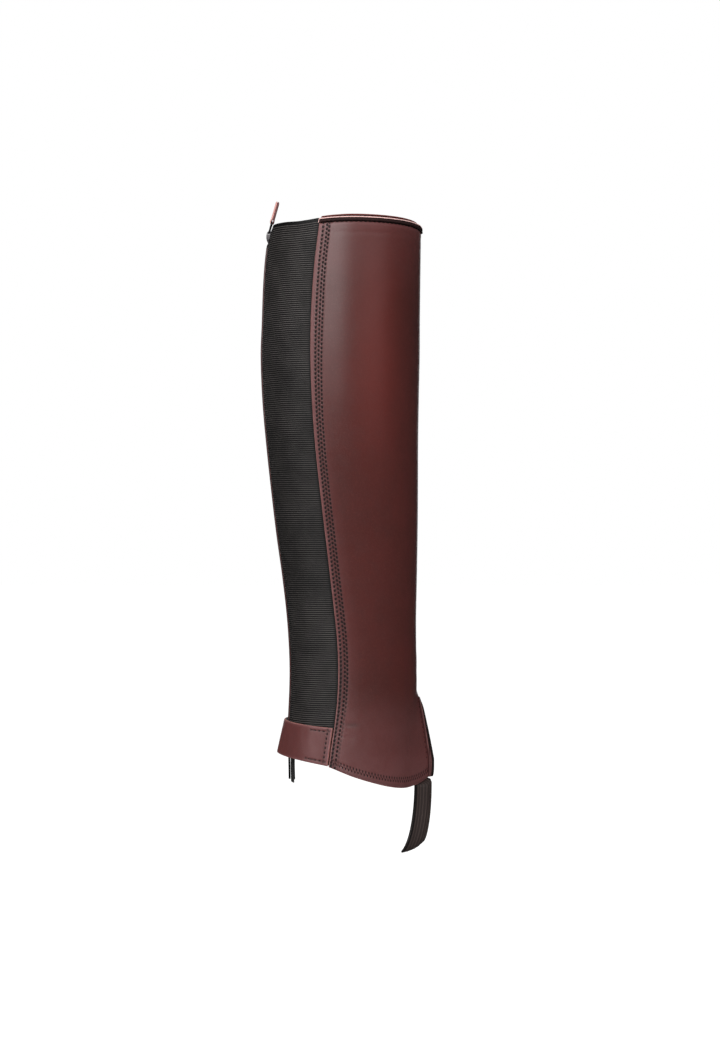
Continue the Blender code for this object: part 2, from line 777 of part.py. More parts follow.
def strap_point(share, turn):
    """A point on the strap's middle surface. share is 0 at its rear edge and 1 at its front edge;
    turn is -1 where it bends on the outer side, 0 at its lowest and 1 on the inner side."""
    start = sewn_point(share, STRAP_BEND, -1 if turn > 0 else 1)
    low_x = read(STRAP_LOW, share, 1)
    low_z = read(STRAP_LOW, share, 2)
    angle = math.pi / 2 * (1 - abs(turn))
    drop = math.sin(angle)
    reach = math.hypot(math.cos(angle), STRAP_ROUND) - STRAP_ROUND
    travel = 1 - reach / (math.hypot(1.0, STRAP_ROUND) - STRAP_ROUND)
    opens = mix(*STRAP_OPENS, share) * math.sin(angle) ** 2
    y = (start.y + math.copysign(opens, start.y)) * math.cos(angle)
    return Vector((mix(start.x, low_x, travel), y, mix(start.z, low_z, drop)))


def foot_strap():
    """The elastic loop, sewn inside the hem at both ends."""
    shares = [i / 4 for i in range(5)]
    sewn = levels((STRAP_TOP, 1), (STRAP_LEAVES, 5), (STRAP_BEND, 0))[:-1]
    turns = [-1 + i / 10 for i in range(21)]
    middle = [[sewn_point(share, height, 1) for share in shares] for height in sewn]
    middle += [[strap_point(share, turn) for share in shares] for turn in turns]
    middle += [[sewn_point(share, height, -1) for share in shares] for height in reversed(sewn)]
    inner, outer = [], []
    for r, row in enumerate(middle):
        inner.append([])
        outer.append([])
        for c, point in enumerate(row):
            down = middle[min(r + 1, len(middle) - 1)][c] - middle[max(r - 1, 0)][c]
            across = row[min(c + 1, len(row) - 1)] - row[max(c - 1, 0)]
            out = down.cross(across).normalized()
            inner[-1].append(point - out * STRAP / 2)
            outer[-1].append(point + out * STRAP / 2)
    return wall("foot_strap", inner, outer, "elastic")


# ---------------------------------------------------------------- the whole chap

def build():
    clear_scene()
    main_panel()
    dart_welt()
    rim_facing()
    rim_band()
    elastic_panel()
    zip_tape("zip_tape_outer", 1)
    zip_tape("zip_tape_inner", -1)
    zip_chain()
    hem_tab()
    snap()
    zip_foot()
    slider_frame = frame_at(180.0, SLIDER_HEIGHT, 0.0)
    zip_slider(slider_frame)
    pivot = slider_frame @ Vector((0.0, PIVOT_UP, PIVOT_OUT))
    pull_frame = Matrix.Translation(pivot) @ Matrix.Rotation(math.radians(PULL_LEAN), 4, "Y")
    pull_frame = pull_frame @ Matrix(((0, 0, -1, 0), (-1, 0, 0, 0), (0, 1, 0, 0), (0, 0, 0, 1)))
    pull_link(pull_frame)
    pull_tab(pull_frame)
    foot_strap()


build()
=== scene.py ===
"""Looks of a leather half chap: burgundy leather, ribbed elastic, a coil zip and nickel hardware.

Places are in millimetres and degrees on the same form as the CAD solids: a girth angle that runs from
0 at the shin to +180 at the zip by the outer side and -180 by the inner side, a height, and an offset
outwards from the form. Every cloth piece is a thin shell over its solid's place, with its creases,
ribs, rounded edges and stitches.
"""
import math

import bpy
import numpy as np
from mathutils import Matrix, Vector


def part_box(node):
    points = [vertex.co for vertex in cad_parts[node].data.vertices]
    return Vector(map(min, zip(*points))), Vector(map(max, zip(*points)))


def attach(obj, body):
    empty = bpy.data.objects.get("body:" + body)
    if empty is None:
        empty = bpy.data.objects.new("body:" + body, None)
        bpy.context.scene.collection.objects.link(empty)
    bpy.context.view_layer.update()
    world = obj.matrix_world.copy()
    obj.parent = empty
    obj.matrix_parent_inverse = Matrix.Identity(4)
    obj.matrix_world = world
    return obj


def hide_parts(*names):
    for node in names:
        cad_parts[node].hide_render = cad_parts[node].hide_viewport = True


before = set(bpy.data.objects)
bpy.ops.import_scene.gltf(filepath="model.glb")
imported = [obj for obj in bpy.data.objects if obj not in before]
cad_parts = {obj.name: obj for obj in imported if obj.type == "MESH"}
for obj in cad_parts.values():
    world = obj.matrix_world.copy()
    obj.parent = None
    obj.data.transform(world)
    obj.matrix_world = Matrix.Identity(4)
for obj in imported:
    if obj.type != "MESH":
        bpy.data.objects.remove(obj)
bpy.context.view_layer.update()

MM = 0.001

# ---------------------------------------------------------------- sizes, in millimetres

# Thicknesses, and the gap between pieces
GAP = 0.3
ELASTIC = 1.2
LEATHER = 2.0
TURNED_EDGE = 2.8        # the wrap where it is folded back along the zip, from this girth on
TURNED_FROM = -160.0
TURNED_RUN = 8.0
WRAP_EASES = 75.0        # from this girth to its other side the wrap comes in to the form
FACING = 1.2
BAND = 2.8
WELT = 1.2
TAPE = 1.0
TAB = 1.8
STRAP = 1.5
EASED = 0.22             # the hard pieces' edges

# The dart and the welt on its ridge
DART_TOP = -259.0
DART_FOOT = -309.5
DART_REACH = 10.5
DART_POWER = 0.75
DART_DEEPEST = 1.03
WELT_HALF = (1.2, 2.3)   # half its width at the dart's top and foot
WELT_TOP = -263.0
WELT_FOOT = -324.3
WELT_THINS = -317.0      # it is skived from here down

# The top edge, the elastic and where they meet the zip
RIM_LEVEL = 100.0
BAND_PROUD = 1.0
BAND_HEIGHT = 3.3
FACING_SHOWS = 2.1
FACING_HEIGHT = 18.0
FACING_EDGE = 15.0       # from the middle of the zip
PANEL_EDGE = 4.5         # from the middle of the zip to the leather and the elastic
CORNER = 5.0
ELASTIC_CORNER = 3.0
ELASTIC_LOW = 1.2
ELASTIC_SHORT = 1.8      # the elastic's foot is this far above the tab's
LAP = 9.0                # how far the elastic runs in under the leather
LAP_GIRTH = 112.0

# The zip
TAPE_TOP = 97.0
TAPE_FOOT = -328.0
TAPE_EDGES = (1.3, 14.0)
CHAIN_TOP = 82.0
CHAIN_FOOT = -309.8
CHAIN_PITCH = 1.5
CHAIN_LOOP = (
    # across from the middle, out from the tape, radius
    (2.62, 0.42, 0.3),
    (2.3, 0.86, 0.4),
    (1.2, 0.98, 0.4),
    (0.1, 0.98, 0.4),
    (-0.75, 0.78, 0.4),
    (-1.0, 0.42, 0.3),
)
ZIP_LEANS = 1.5          # how far its end leans forward, from this height over this length
ZIP_LEAN_TOP = -300.0
ZIP_LEAN_RUN = 11.0
ZIP_PIN_UP = 7.6         # the pin beside the box reaches this much higher than its solid
ZIP_PIN_END = 2.0        # what lies this close to the solid's top belongs to the pin

SECTIONS = (
    # height, back, front, half width
    (104.0, -48.9, 60.8, 53.6),
    (93.0, -51.5, 60.1, 54.0),
    (82.0, -54.1, 59.8, 54.4),
    (57.8, -56.3, 59.5, 55.2),
    (23.1, -57.6, 59.1, 56.0),
    (0.0, -58.4, 59.0, 56.2),
    (-34.7, -57.1, 58.3, 55.6),
    (-69.3, -54.1, 57.8, 53.8),
    (-104.0, -50.4, 57.7, 50.8),
    (-138.6, -46.3, 57.4, 47.4),
    (-173.3, -41.5, 56.8, 44.4),
    (-207.9, -37.8, 56.2, 42.4),
    (-242.6, -36.2, 56.7, 42.0),
    (-277.2, -37.3, 56.5, 43.4),
    (-309.5, -39.4, 56.9, 46.0),
    (-332.0, -39.0, 56.9, 47.4),
)
SEAM = (
    # height, x
    (104.0, -14.4),
    (93.4, -15.2),
    (64.1, -18.7),
    (30.4, -21.0),
    (-3.4, -21.6),
    (-37.1, -20.5),
    (-59.7, -19.0),
    (-82.0, -17.0),
    (-104.6, -14.5),
    (-127.1, -11.9),
    (-149.7, -9.2),
    (-172.4, -6.6),
    (-195.0, -3.9),
    (-217.6, -1.6),
    (-240.0, -0.7),
    (-262.8, -1.5),
    (-278.7, -3.2),
    (-296.8, -5.8),
    (-316.0, -8.3),
)
RIM = (
    # girth, height
    (-180.0, 92.6),
    (-150.0, 96.0),
    (-112.0, 100.0),
    (-80.0, 102.0),
    (-45.0, 101.7),
    (-18.0, 100.3),
    (0.0, 98.5),
    (18.0, 100.3),
    (45.0, 101.7),
    (80.0, 102.3),
    (100.0, 101.8),
    (112.0, 100.7),
    (120.0, 99.8),
    (130.0, 99.3),
    (145.0, 99.8),
    (180.0, 100.4),
)
HEM = (
    # girth, height
    (-180.0, -303.0),
    (-150.0, -305.0),
    (-112.0, -311.5),
    (-88.0, -320.1),
    (-70.0, -325.1),
    (-54.0, -328.5),
    (-36.0, -330.4),
    (-21.0, -329.4),
    (-9.0, -327.1),
    (-3.0, -325.0),
    (0.0, -323.6),
    (3.0, -325.0),
    (9.0, -327.1),
    (21.0, -329.4),
    (36.0, -330.4),
    (54.0, -328.6),
    (70.0, -325.2),
    (88.0, -320.2),
    (107.0, -313.7),
    (118.0, -311.0),
)
TAB_RUN = (
    # girth, height of its top, height of its foot, offset at its top, offset at its foot
    (100.0, -284.2, -314.0, 1.5, 1.5),
    (118.0, -283.2, -311.4, 1.5, 1.6),
    (140.0, -281.8, -308.8, 2.0, 3.2),
    (165.0, -280.4, -306.6, 3.0, 5.6),
    (182.0, -279.8, -305.6, 3.3, 7.2),
    (204.0, -279.4, -305.0, 3.9, 5.2),
    (219.0, -279.2, -304.6, 4.4, 4.4),
    (226.0, -279.2, -304.5, 4.4, 4.4),
    (248.0, -279.2, -304.4, 4.4, 4.4),
)
TAB_END = 242.0
TAB_END_RADIUS = 11.0
TAB_SEAM_GAP = 0.9
TAB_WIDTH = 27.5
TAB_SEWN = 3.2           # the U of stitches, from the tab's sewn end, its top and its foot
TAB_SEWN_TOP = 2.9
TAB_SEWN_FOOT = 3.0
TAB_SEWN_SHARES = (0.105, 0.89)
TAB_SEWN_SIDES = (4.4, 16.6)
TAB_PITCHES = (3.5, 3.4)
SNAP_GIRTH = 231.0
SNAP_RADIUS = 6.5
SNAP_RIM = (
    # inwards from the cap's edge, up from its foot
    (0.5, 0.0),
    (0.1, 0.15),
    (0.0, 0.45),
    (0.15, 0.75),
    (0.55, 0.9),
    (0.85, 0.82),
    (1.05, 0.84),
)
SNAP_DOME = 1.3

STRAP_REAR = 16.5
STRAP_FRONT = 2.8
STRAP_TOP = -308.0
STRAP_BEND = -330.0
STRAP_CLEARS = (5.2, 3.0)
STRAP_STANDS_OUT = 6.2
STRAP_LOW = (
    # share of its width from the rear edge, x and height of its lowest point there
    (0.0, 47.5, -382.6),
    (0.33, 53.0, -381.2),
    (0.67, 58.8, -378.5),
    (1.0, 64.4, -373.8),
)
STRAP_ROUND = 0.2
STRAP_OPENS = (6.0, 10.0)
STRAP_GAP = 0.7
STRAP_WIDTH = 18.5
STRAP_RIBS = 6
STRAP_BORDER = 0.045     # share of its width outside the ribs, at each edge
STRAP_EASED = 0.62

# The zip's slider and its pull
SLIDER_HEIGHT = 89.5
PIVOT_UP = 3.2
PIVOT_OUT = 2.8
WIRE = 0.6
PULL_LEAN = 16.0
LINK_FOOT = 2.3
LINK_HEAD = 4.6
LINK_LENGTH = 9.0
LINK_BEVEL = 1.0
PULL_HALF = 3.1
PULL_THICK = 2.6
PULL_LENGTH = 25.2
PULL_LAYER = 0.85        # the strip's thickness where it bends round the link
PULL_PARTS = 3.4         # its two layers part over this length from the link
PULL_CORNER = 0.18

# Sewing
SEAM_ROWS = (
    # height, and each row's distance from the leather's edge beside the elastic
    (94.0, 3.3, 6.1, 7.7),
    (60.0, 3.6, 6.2, 8.0),
    (20.0, 3.9, 6.4, 8.4),
    (-60.0, 3.0, 5.0, 6.9),
    (-110.0, 2.5, 4.5, 6.3),
    (-200.0, 1.9, 4.3, 5.9),
    (-316.0, 1.5, 4.5, 6.1),
)
SEAM_NOMINAL = (3.5, 6.0, 8.0)
SEAM_PITCH = 3.15
SEAM_PHASES = (0.5, 0.0, 0.45)
SEAM_SEWN = (93.0, -310.0)    # where the rows begin and end
HEM_ROWS = (
    # girth, and each row's distance from the hem
    (118.0, 3.6, 5.3),
    (92.0, 3.9, 5.8),
    (36.0, 5.2, 7.5),
    (8.0, 4.6, 6.8),
    (-8.0, 4.6, 6.8),
    (-40.0, 5.0, 7.3),
    (-120.0, 4.2, 6.3),
    (-180.0, 4.0, 6.0),
)
HEM_NOMINAL = (4.4, 6.5)    # the rows in the grid of points, before they are moved to the sewn ones
HEM_PITCH = 2.5
HEM_PHASES = (0.5, 0.0)
HEM_SEWN = (99.0, -171.0)
ZIP_ROWS = (2.2, 8.0)
ZIP_PITCH = 3.1
ZIP_PHASES = (0.5, 0.0)
ZIP_SEWN = (88.0, -298.0)
RIB_PITCH = 1.56
RIB_STEPS = 4
ELASTIC_ROW = 6.6        # from the elastic's edge to its row of stitches
ELASTIC_PITCH = 2.9
FAR = 9.0                # a distance at which no row of stitches pulls
RIM_ROW = 2.75
RIM_PITCH = 3.3
DART_ROW = 1.25          # from the welt's edge to the rows beside it
DART_PITCH = 3.9


# ---------------------------------------------------------------- the form

def mix(start, end, share):
    return start + (end - start) * share


def ease(share):
    """0 to 1 with level ends."""
    share = np.clip(share, 0.0, 1.0)
    return share * share * (3.0 - 2.0 * share)


def fall(value, start, length):
    """1 up to the start, then down to 0 over the length."""
    return 1.0 - ease((value - start) / length)


def peak(value, middle, width):
    return np.exp(-((value - middle) / width) ** 2)


def least(*values):
    return np.minimum.reduce(np.broadcast_arrays(*values))


def read(table, at, column=1):
    """A smooth curve through one column of a table, read at values of its first column."""
    rows = np.array(sorted(table), float)
    x, y = rows[:, 0], rows[:, column]
    after = np.minimum(np.arange(len(x)) + 1, len(x) - 1)
    before = np.maximum(np.arange(len(x)) - 1, 0)
    slope = (y[after] - y[before]) / (x[after] - x[before])
    at = np.clip(np.asarray(at, float), x[0], x[-1])
    low = np.clip(np.searchsorted(x, at, side="right") - 1, 0, len(x) - 2)
    step = x[low + 1] - x[low]
    t = (at - x[low]) / step
    return (y[low] * (1 + 2 * t) * (1 - t) ** 2 + y[low + 1] * t * t * (3 - 2 * t)
            + slope[low] * step * t * (1 - t) ** 2 + slope[low + 1] * step * t * t * (t - 1))


def half_width(height):
    return read(SECTIONS, height, 3)


def ring(girth, height):
    """The form's points at girth angles and heights, as x and y."""
    back = read(SECTIONS, height, 1)
    front = read(SECTIONS, height, 2)
    half_depth = (front - back) / 2
    angle = np.radians(girth)
    across = np.sin(angle)
    along = np.cos(angle)
    depth = np.clip((DART_TOP - height) / (DART_TOP - DART_FOOT), 0.0, DART_DEEPEST)
    ridge = 1 + DART_REACH * depth ** DART_POWER / half_depth
    touch = np.arccos(1 / ridge)
    reach = np.maximum(np.sin(touch), 1e-6)
    flat = ridge - np.abs(across) / reach * (ridge - np.cos(touch))
    along = np.where((along > 0) & (np.abs(across) < reach) & (depth > 0), flat, along)
    return np.stack([(front + back) / 2 + half_depth * along, -half_width(height) * across], -1)


def unit(vectors):
    return vectors / np.linalg.norm(vectors, axis=-1, keepdims=True)


def place(girth, height, offset):
    """Points at offsets outwards from the form, mitred at the dart's ridge."""
    girth, height, offset = np.broadcast_arrays(*(np.asarray(v, float) for v in (girth, height, offset)))
    step = 0.2
    here = ring(girth, height)
    ahead = unit(ring(girth + step, height) - here)
    behind = unit(here - ring(girth - step, height))
    side_a = np.stack([-ahead[..., 1], ahead[..., 0]], -1)
    side_b = np.stack([-behind[..., 1], behind[..., 0]], -1)
    out = unit(side_a + side_b)
    reach = offset / np.maximum(0.5, (out * side_a).sum(-1))
    return np.concatenate([here + out * reach[..., None], height[..., None]], -1)


def degrees_for(length, height):
    return np.degrees(length / half_width(height))


def seam_girth(height):
    """Girth of the leather's edge beside the elastic."""
    offset = ELASTIC + GAP + LEATHER
    back = read(SECTIONS, height, 1) - offset
    front = read(SECTIONS, height, 2) + offset
    return np.degrees(np.arccos((read(SEAM, height) - (front + back) / 2) / ((front - back) / 2)))


def wrap_inside(girth):
    return mix(ELASTIC + GAP, 0.0, ease((WRAP_EASES - girth) / (2.0 * WRAP_EASES)))


def wrap_outside(girth):
    return wrap_inside(girth) + mix(LEATHER, TURNED_EDGE, ease((TURNED_FROM - girth) / TURNED_RUN))


def corner_drop(distance, radius=CORNER):
    """How far a rounded corner takes an edge in, at distances from the end."""
    near = np.clip(radius - np.maximum(distance, 0.0), 0.0, radius)
    return radius - np.sqrt(radius ** 2 - near ** 2)


def from_zip(girth, height):
    return np.radians(180.0 - np.abs(girth)) * half_width(height)


def band_top(girth):
    return read(RIM, girth) - FACING_SHOWS


def band_foot(girth):
    return band_top(girth) - BAND_HEIGHT


# ---------------------------------------------------------------- meshes

def linked(name, data):
    """A new object in the scene."""
    thing = bpy.data.objects.new(name, data)
    bpy.context.scene.collection.objects.link(thing)
    return thing


def new_mesh(name, points, faces, finish, body="chap", attributes=None, parts=None):
    """One piece from points in millimetres. parts gives each face's place in finish."""
    mesh = bpy.data.meshes.new(name)
    mesh.from_pydata((np.asarray(points) * MM).tolist(), [], [list(face) for face in faces])
    for one in finish if isinstance(finish, tuple) else (finish,):
        mesh.materials.append(one)
    if parts is not None:
        mesh.polygons.foreach_set("material_index", np.asarray(parts, np.int32))
    for key, values in (attributes or {}).items():
        layer = mesh.attributes.new(key, "FLOAT", "POINT")
        layer.data.foreach_set("value", np.asarray(values, np.float32).ravel())
    mesh.shade_smooth()
    mesh.update()
    piece = linked(name, mesh)
    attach(piece, body)
    return piece


def circle(sides, radius):
    """Points round a circle."""
    angles = [2 * math.pi * i / sides for i in range(sides)]
    return [(radius * math.cos(angle), radius * math.sin(angle)) for angle in angles]


def tube_faces(rings, sides, base=0, closed=False):
    """Faces of a tube of rings of points, capped at both ends or closed on itself."""
    faces = []
    for ring in range(rings if closed else rings - 1):
        here = base + ring * sides
        beyond = base + (ring + 1) % rings * sides
        for side in range(sides):
            after = (side + 1) % sides
            faces.append((here + side, here + after, beyond + after, beyond + side))
    if not closed:
        last = base + (rings - 1) * sides
        faces += [tuple(range(base + sides - 1, base - 1, -1)), tuple(range(last, last + sides))]
    return faces


def outward(points, faces):
    """The faces, turned round if the closed shape they make is inside out."""
    corners = points[faces]
    first = corners[:, 0]
    volume = 0.0
    for i in range(1, faces.shape[1] - 1):
        volume += np.einsum("ij,ij->", first, np.cross(corners[:, i], corners[:, i + 1]))
    return faces if volume > 0 else faces[:, ::-1]


def wall(name, outer, inner, finish, attributes):
    """A closed wall between two grids of points. The second finish is its inner face's."""
    rows, columns = outer.shape[:2]
    count = rows * columns
    index = np.arange(count).reshape(rows, columns)
    front = np.stack([index[:-1, :-1], index[1:, :-1], index[1:, 1:], index[:-1, 1:]], -1).reshape(-1, 4)
    border = np.concatenate([index[0, :-1], index[:-1, -1], index[-1, :0:-1], index[:0:-1, 0]])
    following = np.roll(border, -1)
    edge = np.stack([border, following, following + count, border + count], -1)
    points = np.concatenate([outer.reshape(-1, 3), inner.reshape(-1, 3)])
    faces = outward(points, np.concatenate([front, front[:, ::-1] + count, edge]))
    parts = np.zeros(len(faces), int)
    if isinstance(finish, tuple):
        parts[len(front):2 * len(front)] = 1
    doubled = {}
    for key, values in attributes.items():
        flat = np.broadcast_to(values, (rows, columns)).ravel()
        doubled[key] = np.concatenate([flat, flat])
    return new_mesh(name, points, faces, finish, attributes=doubled, parts=parts)


def rounding(edge, radius):
    """How far a face sinks at distances from a rounded edge."""
    near = 1.0 - np.clip(edge / radius, 0.0, 1.0)
    return radius * (1.0 - np.sqrt(1.0 - near ** 2))


def shell(name, girth, height, low, high, edge, finish, relief, radius, attributes=None):
    """A thin shell over a grid of girths and heights, between two offsets."""
    radius = min(radius, 0.46 * float(np.min(np.asarray(high) - np.asarray(low))))
    sinks = rounding(edge, radius)
    outer = place(girth, height, high - sinks + relief)
    inner = place(girth, height, low + sinks)
    return wall(name, outer, inner, finish, attributes or {})


def run_length(points):
    """Distance along a line of points, from its start."""
    gaps = np.linalg.norm(np.diff(points, axis=0), axis=1)
    return np.concatenate([[0.0], np.cumsum(gaps)])


STITCH_SIZES = {
    # radius, length
    "seam": (0.42, 2.1),
    "hem": (0.3, 1.7),
    "zip_side": (0.36, 2.0),
    "rim": (0.42, 2.3),
    "dart": (0.36, 2.5),
    "tab": (0.40, 2.0),
    "elastic": (0.34, 2.0),
}
STITCH_SINKS = 0.1
HEM_SINKS = 0.16
RIM_SINKS = 0.12
ELASTIC_SINKS = 0.22
STITCH_RINGS = (
    # share of the half length, radius share, sink share
    (-1.0, 0.35, 1.0),
    (-0.82, 0.85, 0.55),
    (-0.35, 1.0, 0.08),
    (0.35, 1.0, 0.08),
    (0.82, 0.85, 0.55),
    (1.0, 0.35, 1.0),
)


def stitches(row_name, rows, thread):
    """Joined stitches: each a short bowed thread. rows are (spots, ways, outs) arrays."""
    radius, length = STITCH_SIZES[row_name]
    sides = 6
    spots, ways, outs = (np.concatenate([row[i] for row in rows]) for i in range(3))
    across = unit(np.cross(ways, outs))
    turn = np.radians(np.arange(sides) * 360.0 / sides)
    rings = []
    for share, thick, sink in STITCH_RINGS:
        middle = spots + ways * (share * length / 2) - outs * (sink * radius * 2.0)
        rings.append(middle[:, None] + across[:, None] * (np.cos(turn)[None, :, None] * radius * thick)
                     + outs[:, None] * (np.sin(turn)[None, :, None] * radius * thick))
    points = np.stack(rings, 1)
    count, levels = points.shape[:2]
    index = np.arange(count * levels * sides).reshape(count, levels, sides)
    around = np.roll(index, -1, axis=2)
    sheet = np.stack([index[:, :-1], around[:, :-1], around[:, 1:], index[:, 1:]], -1).reshape(-1, 4)
    faces = [list(face) for face in sheet]
    faces += [list(face) for face in index[:, 0, ::-1]]
    faces += [list(face) for face in index[:, -1]]
    new_mesh("stitches_" + row_name, points.reshape(-1, 3), faces, thread)


def sew(girth, height, offset, pitch, phase, run=None, start=0.0, end=None):
    """Spots, ways and outward directions of stitches along a line on the form."""
    girth, height, offset = np.broadcast_arrays(girth, height, offset)
    if run is None:
        run = run_length(place(girth, height, offset))
    end = run[-1] if end is None else end
    at = (np.arange(math.ceil(start / pitch - phase), end / pitch - phase, 1.0) + phase) * pitch

    def point(where, rise=0.0):
        return place(np.interp(where, run, girth), np.interp(where, run, height),
                     np.interp(where, run, offset) + rise)

    spots = point(at)
    ways = unit(point(at + 0.3) - point(at - 0.3))
    outs = point(at, 1.0) - spots
    outs = unit(outs - ways * (outs * ways).sum(-1, keepdims=True))
    return spots, ways, outs


def creases(table, girth, height):
    """Soft troughs and ridges: each row is (girth, height, tilt, length, width, depth)."""
    relief = np.zeros(np.broadcast(girth, height).shape)
    for at, level, tilt, length, width, depth in table:
        gap = (girth - at + 180.0) % 360.0 - 180.0
        u = -np.radians(gap) * half_width(level)
        v = height - level
        cos, sin = math.cos(math.radians(tilt)), math.sin(math.radians(tilt))
        along = (u * cos + v * sin) / length
        side = (v * cos - u * sin) / width
        fade = np.clip(1.0 - along ** 2, 0.0, 1.0) ** 2
        relief -= depth * fade * (np.exp(-side ** 2) - 0.35 * np.exp(-(side / 2.2) ** 2))
    return relief


# ---------------------------------------------------------------- materials

def srgb(red, green, blue):
    """A linear colour from its 0 to 255 values."""
    made = []
    for value in (red, green, blue):
        value = value / 255.0
        made.append(value / 12.92 if value <= 0.04045 else ((value + 0.055) / 1.055) ** 2.4)
    return (*made, 1.0)


class Nodes:
    """Short calls for a tree's nodes."""

    def __init__(self, tree):
        self.tree = tree

    def add(self, kind, inputs=None, **settings):
        made = self.tree.nodes.new(kind)
        for key, value in settings.items():
            setattr(made, key, value)
        for key, value in (inputs or {}).items():
            if isinstance(value, bpy.types.NodeSocket):
                self.tree.links.new(value, made.inputs[key])
            else:
                made.inputs[key].default_value = value
        return made

    def maths(self, operation, a, b=0.0, c=0.0):
        return self.add("ShaderNodeMath", {0: a, 1: b, 2: c}, operation=operation).outputs[0]

    def times(self, a, b):
        return self.maths("MULTIPLY", a, b)

    def plus(self, a, b):
        return self.maths("ADD", a, b)

    def white_rays(self, way):
        """The light path, the rays off or through a surface, whether a way out from the object points
        behind it, and the rays that see white there."""
        path = self.add("ShaderNodeLightPath").outputs
        away = self.add("ShaderNodeSeparateXYZ", {0: way}).outputs["Y"]
        behind = self.maths("GREATER_THAN", away, BEHIND)
        mirrored = self.maths("MAXIMUM", path["Is Glossy Ray"], path["Is Transmission Ray"])
        seen = self.maths("MAXIMUM", path["Is Camera Ray"], self.times(mirrored, behind))
        return path, mirrored, behind, seen


class Finish(Nodes):
    """A Principled material."""

    def __init__(self, name, colour, roughness, metallic=0.0):
        self.made = bpy.data.materials.new(name)
        self.made.use_nodes = True
        super().__init__(self.made.node_tree)
        self.shader = self.tree.nodes["Principled BSDF"]
        self.shader.inputs["Base Color"].default_value = colour
        self.shader.inputs["Roughness"].default_value = roughness
        self.shader.inputs["Metallic"].default_value = metallic
        self.coords = self.add("ShaderNodeTexCoord").outputs["Object"]

    def link(self, socket, name):
        self.tree.links.new(socket, self.shader.inputs[name])

    def noise(self, scale, detail=3.0, roughness=0.55, coords=None):
        return self.add("ShaderNodeTexNoise", {"Vector": coords or self.coords, "Scale": scale,
                                               "Detail": detail, "Roughness": roughness}).outputs["Fac"]

    def cells(self, scale, feature="F1"):
        return self.add("ShaderNodeTexVoronoi", {"Vector": self.coords, "Scale": scale},
                        feature=feature).outputs["Distance"]

    def stretched(self, x, y, z):
        return self.add("ShaderNodeVectorMath", {0: self.coords, 1: (x, y, z)},
                        operation="MULTIPLY").outputs[0]

    def fit(self, value, low, high, to_low=0.0, to_high=1.0):
        """A value taken from one range to another, with smooth ends."""
        return self.add("ShaderNodeMapRange", {"Value": value, "From Min": low, "From Max": high,
                                               "To Min": to_low, "To Max": to_high},
                        interpolation_type="SMOOTHSTEP").outputs[0]

    def blend(self, factor, a, b):
        return self.add("ShaderNodeMix", {0: factor, 6: a, 7: b}, data_type="RGBA").outputs[2]

    def attribute(self, name):
        return self.add("ShaderNodeAttribute", attribute_name=name).outputs["Fac"]

    def bump(self, height, distance, strength, normal=None):
        inputs = {"Height": height, "Distance": distance, "Strength": strength}
        if normal is not None:
            inputs["Normal"] = normal
        return self.add("ShaderNodeBump", inputs).outputs[0]


LEATHER_RED = srgb(83, 37, 34)
LEATHER_BROWN = srgb(72, 35, 32)
# a pinkish grey for polished edges and for painted sheen and highlights
LEATHER_WEAR_AND_SHEEN = srgb(138, 92, 93)
LEATHER_FLECK = srgb(122, 66, 60)
LEATHER_ROSY = srgb(118, 46, 40)
# for the dark attribute, mostly painted shade
LEATHER_DARK = srgb(30, 14, 13)
# the needle hole and painted shade in the pit round each stitch
LEATHER_PIT_SHADE = srgb(18, 8, 8)
RAW_PINK = srgb(176, 122, 116)
RAW_DEEP = srgb(142, 88, 82)
THREAD = srgb(26, 12, 12)


